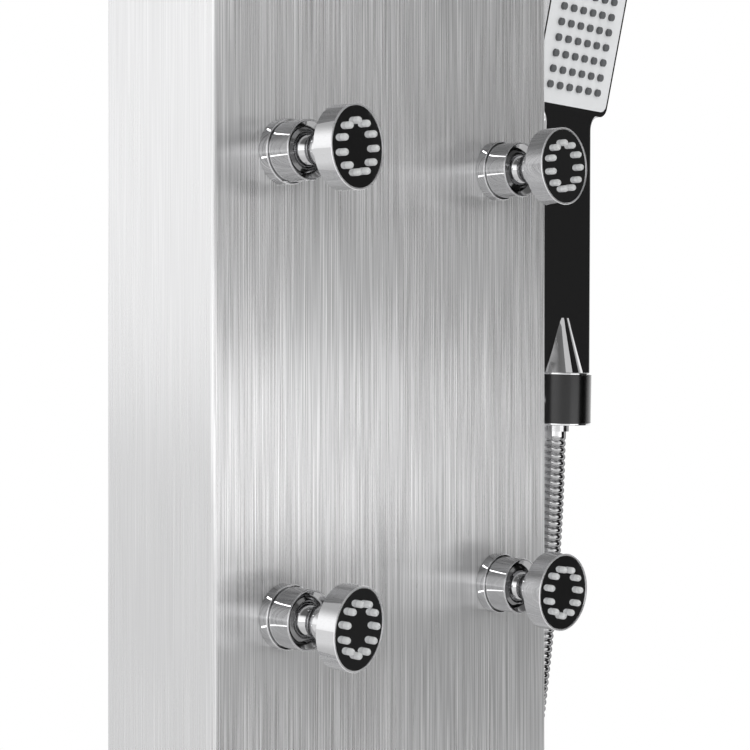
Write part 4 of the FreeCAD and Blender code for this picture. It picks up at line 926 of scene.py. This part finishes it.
class SHOWER_OT_fittings(bpy.types.Operator):
    """Finishes the overhead shower, the mixer and the diverter"""

    bl_idname = "shower.fittings"
    bl_label = "Fittings"

    def execute(self, context):
        look = finishes()
        paint(chrome("fitting_chrome"), "rain_arm", "rain_swivel_ring",
              "rain_head", "mixer_cover", "mixer_spindle", "mixer_handle", "diverter_cover",
              "diverter_knob")
        paint(chrome("handset_chrome"), "handset_shell")
        paint(chrome("nut_chrome"), "hose_nut_handset", "hose_nut_outlet", "hose_outlet")
        paint(moulded("grey_rubber", look.rubber, 0.5), "rain_nozzles", "handset_nozzles")
        paint(moulded("spray_plate", look.plate, 0.3, coat=0.3), "handset_face")
        paint(chrome("rain_plate"), "rain_face")
        return {"FINISHED"}


# ---- studio -------------------------------------------------------------------------------------


# Black cards for the mirror faces: one to the right in front, and a small one nearer to the side.
# Their outlines are pairs of a distance along the card and a height.
BLACK_CARD_DISTANCE = 1.178
BLACK_CARD = ((-0.42, -0.75), (0.34, -0.75), (0.165, 0.42), (0.12, 1.0), (-0.42, 1.0))
SMALL_CARD_MIDDLE = (0.548, -0.357, 0)
SMALL_CARD_ALONG = (0.616, 0.788, 0)
SMALL_CARD = ((-0.09, -0.1), (0.14, -0.1), (0.14, 0.5), (-0.09, 0.5))
# The light cards that the brushed front mirrors: name, lower and upper edge, strength; then where
# their two ends stand.
LIGHT_CARDS = (("light_strip", 0.0, 0.20, 2.2), ("upper_light", 0.20, 0.85, 0.72))
LIGHT_CARD_ENDS = ((0.174, -1.057), (0.643, -0.838))
# soft lights: name, place and power; then where they aim and their diameter
AREA_LIGHTS = (("key", (-1.6, -2.2, 1.6), 26), ("fill", (1.8, -1.6, 0.8), 10))
LIGHT_AIM = (0, 0, 0.1)
LIGHT_SIZE = 1.6


def upright(middle, along, outline):
    """The corners of an upright card."""
    return [tuple(Vector(middle) + along * across + UP * height) for across, height in outline]


def card(name, corners, tint, one_sided=False):
    """A flat card that only reflections see, from both of its sides or from its front alone."""
    data = bpy.data.meshes.new(name)
    data.from_pydata(corners, [], [tuple(range(len(corners)))])
    material = bpy.data.materials.new(name)
    material.use_nodes = True
    nodes = Nodes(material.node_tree)
    glow = nodes.add("ShaderNodeEmission", None, {"Color": opaque((tint,) * 3), "Strength": 1.0})
    output = material.node_tree.nodes["Material Output"]
    if one_sided:
        behind = nodes.add("ShaderNodeNewGeometry", output="Backfacing")
        clear = nodes.add("ShaderNodeBsdfTransparent")
        glow = nodes.add("ShaderNodeMixShader", None, {0: behind, 1: glow, 2: clear})
    material.node_tree.links.new(glow.output, output.inputs["Surface"])
    data.materials.append(material)
    piece = bpy.data.objects.new(name, data)
    bpy.context.scene.collection.objects.link(piece)
    piece.visible_camera = False
    piece.visible_diffuse = False
    piece.visible_shadow = False
    piece.visible_transmission = False
    return piece


# The thin lights that a jet's sleeve mirrors: angle above the horizontal, and strength; then half
# their width, how far they stand off the panel, and where they start and end outside the flange.
SLEEVE_GLINTS = ((44, 7.0), (-14, 4.0))
GLINT_HALF_WIDTH = 0.45 * MM
GLINT_GAP = 0.3 * MM
GLINT_REACH = (1.0 * MM, 22.0 * MM)


def glint_corners(pivot, angle, jet):
    """A thin bar just off the panel, pointing away from a jet on its left side."""
    along = Vector((-math.cos(angle), 0, math.sin(angle)))
    across = Vector((math.sin(angle), 0, math.cos(angle))) * GLINT_HALF_WIDTH
    foot = pivot + TOWARDS_WALL * (BALL_STAND_OFF - GLINT_GAP)
    near, far = (foot + along * (jet.flange_radius + reach) for reach in GLINT_REACH)
    return [tuple(spot) for spot in (near + across, far + across, far - across, near - across)]


def area_light(name, spot, target, size, power):
    """A round soft light that reflections don't see."""
    lamp = bpy.data.lights.new(name, "AREA")
    lamp.shape = "DISK"
    lamp.size = size
    lamp.energy = power
    holder = bpy.data.objects.new(name, lamp)
    holder.location = spot
    holder.rotation_euler = (Vector(target) - Vector(spot)).to_track_quat("-Z", "Y").to_euler()
    bpy.context.scene.collection.objects.link(holder)
    holder.visible_glossy = False
    return holder


def studio_world():
    """White all round: plain for the camera, and graded for reflections."""
    world = bpy.data.worlds.new("studio")
    bpy.context.scene.world = world
    world.use_nodes = True
    tree = world.node_tree
    nodes = Nodes(tree)
    direction = nodes.add("ShaderNodeTexCoord", output="Generated")
    x, y, z = (nodes.add("ShaderNodeSeparateXYZ", None, {0: direction}, output=axis)
               for axis in "XYZ")
    height = nodes.maths("ARCSINE", z) * (180 / math.pi)
    slope = nodes.maths("ABSOLUTE", height)
    # in front: a soft strip a little below eye level, strongest at the left, and a light far left
    strip = nodes.band(nodes.maths("ABSOLUTE", height + 4.5), 1.0, 8.0, 1, 0)
    left = nodes.band(x, -0.2, 0.6, 1.0, 0.3)
    beside = nodes.band(x, -0.35, -0.8, 0.0, 1.1) * nodes.band(slope, 20, 40, 1.0, 0.0)
    front_light = nodes.band(slope, 10, 35, 0.5, 0.15) + 1.5 * strip * left + beside
    # behind: bright at eye level and above, darker towards the ground and the zenith
    away = nodes.band(height, -22, 6, 0.8, 1.48) * nodes.band(slope, 18, 45, 1.0, 0.4)
    ahead = nodes.band(-y, -0.05, 0.25)
    mirrored = ahead * front_light + (1 - ahead) * away
    seen = nodes.add("ShaderNodeLightPath", output="Is Camera Ray")
    glossy = nodes.add("ShaderNodeLightPath", output="Is Glossy Ray")
    plain = 0.72
    strength = plain * (1 - glossy) * (1 - seen) + seen + glossy * mirrored
    background = tree.nodes["Background"]
    tree.links.new(strength.output, background.inputs["Strength"])
    background.inputs["Color"].default_value = (1, 1, 1, 1)


def floor(height):
    """A wide light floor that fades into the white surroundings."""
    data = bpy.data.meshes.new("floor")
    reach = 30.0
    data.from_pydata([(-reach, -reach, height), (reach, -reach, height), (reach, reach, height),
                      (-reach, reach, height)], [], [(0, 1, 2, 3)])
    material = bpy.data.materials.new("floor_white")
    material.use_nodes = True
    tree = material.node_tree
    nodes = Nodes(tree)
    surface = tree.nodes["Principled BSDF"]
    surface.inputs["Base Color"].default_value = (0.82, 0.82, 0.82, 1)
    surface.inputs["Roughness"].default_value = 0.9
    away = nodes.add("ShaderNodeVectorMath", {"operation": "LENGTH"}, {0: nodes.place()},
                     output="Value")
    blank = nodes.add("ShaderNodeEmission", None, {"Color": (1, 1, 1, 1), "Strength": 1.0})
    faded = nodes.add("ShaderNodeMixShader", None, {
        0: nodes.band(away, 1.9, 3.6), 1: Socket(nodes, surface.outputs[0]), 2: blank})
    tree.links.new(faded.output, tree.nodes["Material Output"].inputs["Surface"])
    data.materials.append(material)
    piece = bpy.data.objects.new("floor", data)
    bpy.context.scene.collection.objects.link(piece)
    return piece


class SHOWER_OT_studio(bpy.types.Operator):
    """Sets up the camera, the white surroundings and the soft lights"""

    bl_idname = "shower.studio"
    bl_label = "Studio"

    def execute(self, context):
        scene = context.scene
        studio = scene.shower_studio
        camera = bpy.data.cameras.new("camera")
        camera.lens = studio.lens
        camera.sensor_width = 36
        camera.shift_y = studio.shift
        camera.clip_end = 100
        holder = bpy.data.objects.new("camera", camera)
        holder.location = studio.eye
        holder.rotation_euler = (math.pi / 2, 0, -studio.heading)
        scene.collection.objects.link(holder)
        scene.camera = holder
        scene.view_settings.view_transform = "Standard"
        studio_world()
        floor(studio.floor_height)
        ahead = Vector((math.sin(studio.heading), -math.cos(studio.heading), 0))
        side = Vector((math.cos(studio.heading), math.sin(studio.heading), 0))
        card("black_card", upright(ahead * BLACK_CARD_DISTANCE, side, BLACK_CARD), 0.015)
        card("small_black_card",
             upright(SMALL_CARD_MIDDLE, Vector(SMALL_CARD_ALONG), SMALL_CARD), 0.02)
        for label, low, high, glow in LIGHT_CARDS:
            left, right = LIGHT_CARD_ENDS
            card(label, [(*left, low), (*right, low), (*right, high), (*left, high)], glow)
        for name in JET_NAMES:
            pivot, _ = jet_pose(name)
            for number, (angle, glow) in enumerate(SLEEVE_GLINTS):
                card(f"sleeve_glint_{name}_{number}",
                     glint_corners(pivot, math.radians(angle), scene.shower_jet), glow,
                     one_sided=True)
        for label, spot, power in AREA_LIGHTS:
            area_light(label, spot, LIGHT_AIM, LIGHT_SIZE, power)
        return {"FINISHED"}


class SHOWER_PT_panel(bpy.types.Panel):
    """Lists the shower column's operators and sizes"""

    bl_idname = "SHOWER_PT_panel"
    bl_label = "Shower column"
    bl_space_type = "VIEW_3D"
    bl_region_type = "UI"
    bl_category = "Shower"

    def draw(self, context):
        for operator in OPERATORS:
            self.layout.operator(operator.bl_idname)
        for name in SETTINGS:
            settings = getattr(context.scene, name)
            box = self.layout.box()
            for key in settings.__annotations__:
                box.prop(settings, key)


OPERATORS = (
    SHOWER_OT_studio,
    SHOWER_OT_hose,
    SHOWER_OT_jets,
    SHOWER_OT_cup,
    SHOWER_OT_sheet_metal,
    SHOWER_OT_pipework,
    SHOWER_OT_fittings,
)


def register():
    for group in (*SETTINGS.values(), *OPERATORS, SHOWER_PT_panel):
        bpy.utils.register_class(group)
    for name, group in SETTINGS.items():
        setattr(bpy.types.Scene, name, bpy.props.PointerProperty(type=group))


def unregister():
    for name in SETTINGS:
        delattr(bpy.types.Scene, name)
    for group in reversed((*SETTINGS.values(), *OPERATORS, SHOWER_PT_panel)):
        bpy.utils.unregister_class(group)


def main():
    register()
    for operator in OPERATORS:
        module, name = operator.bl_idname.split(".")
        getattr(getattr(bpy.ops, module), name)()


if __name__ == "__main__":
    main()
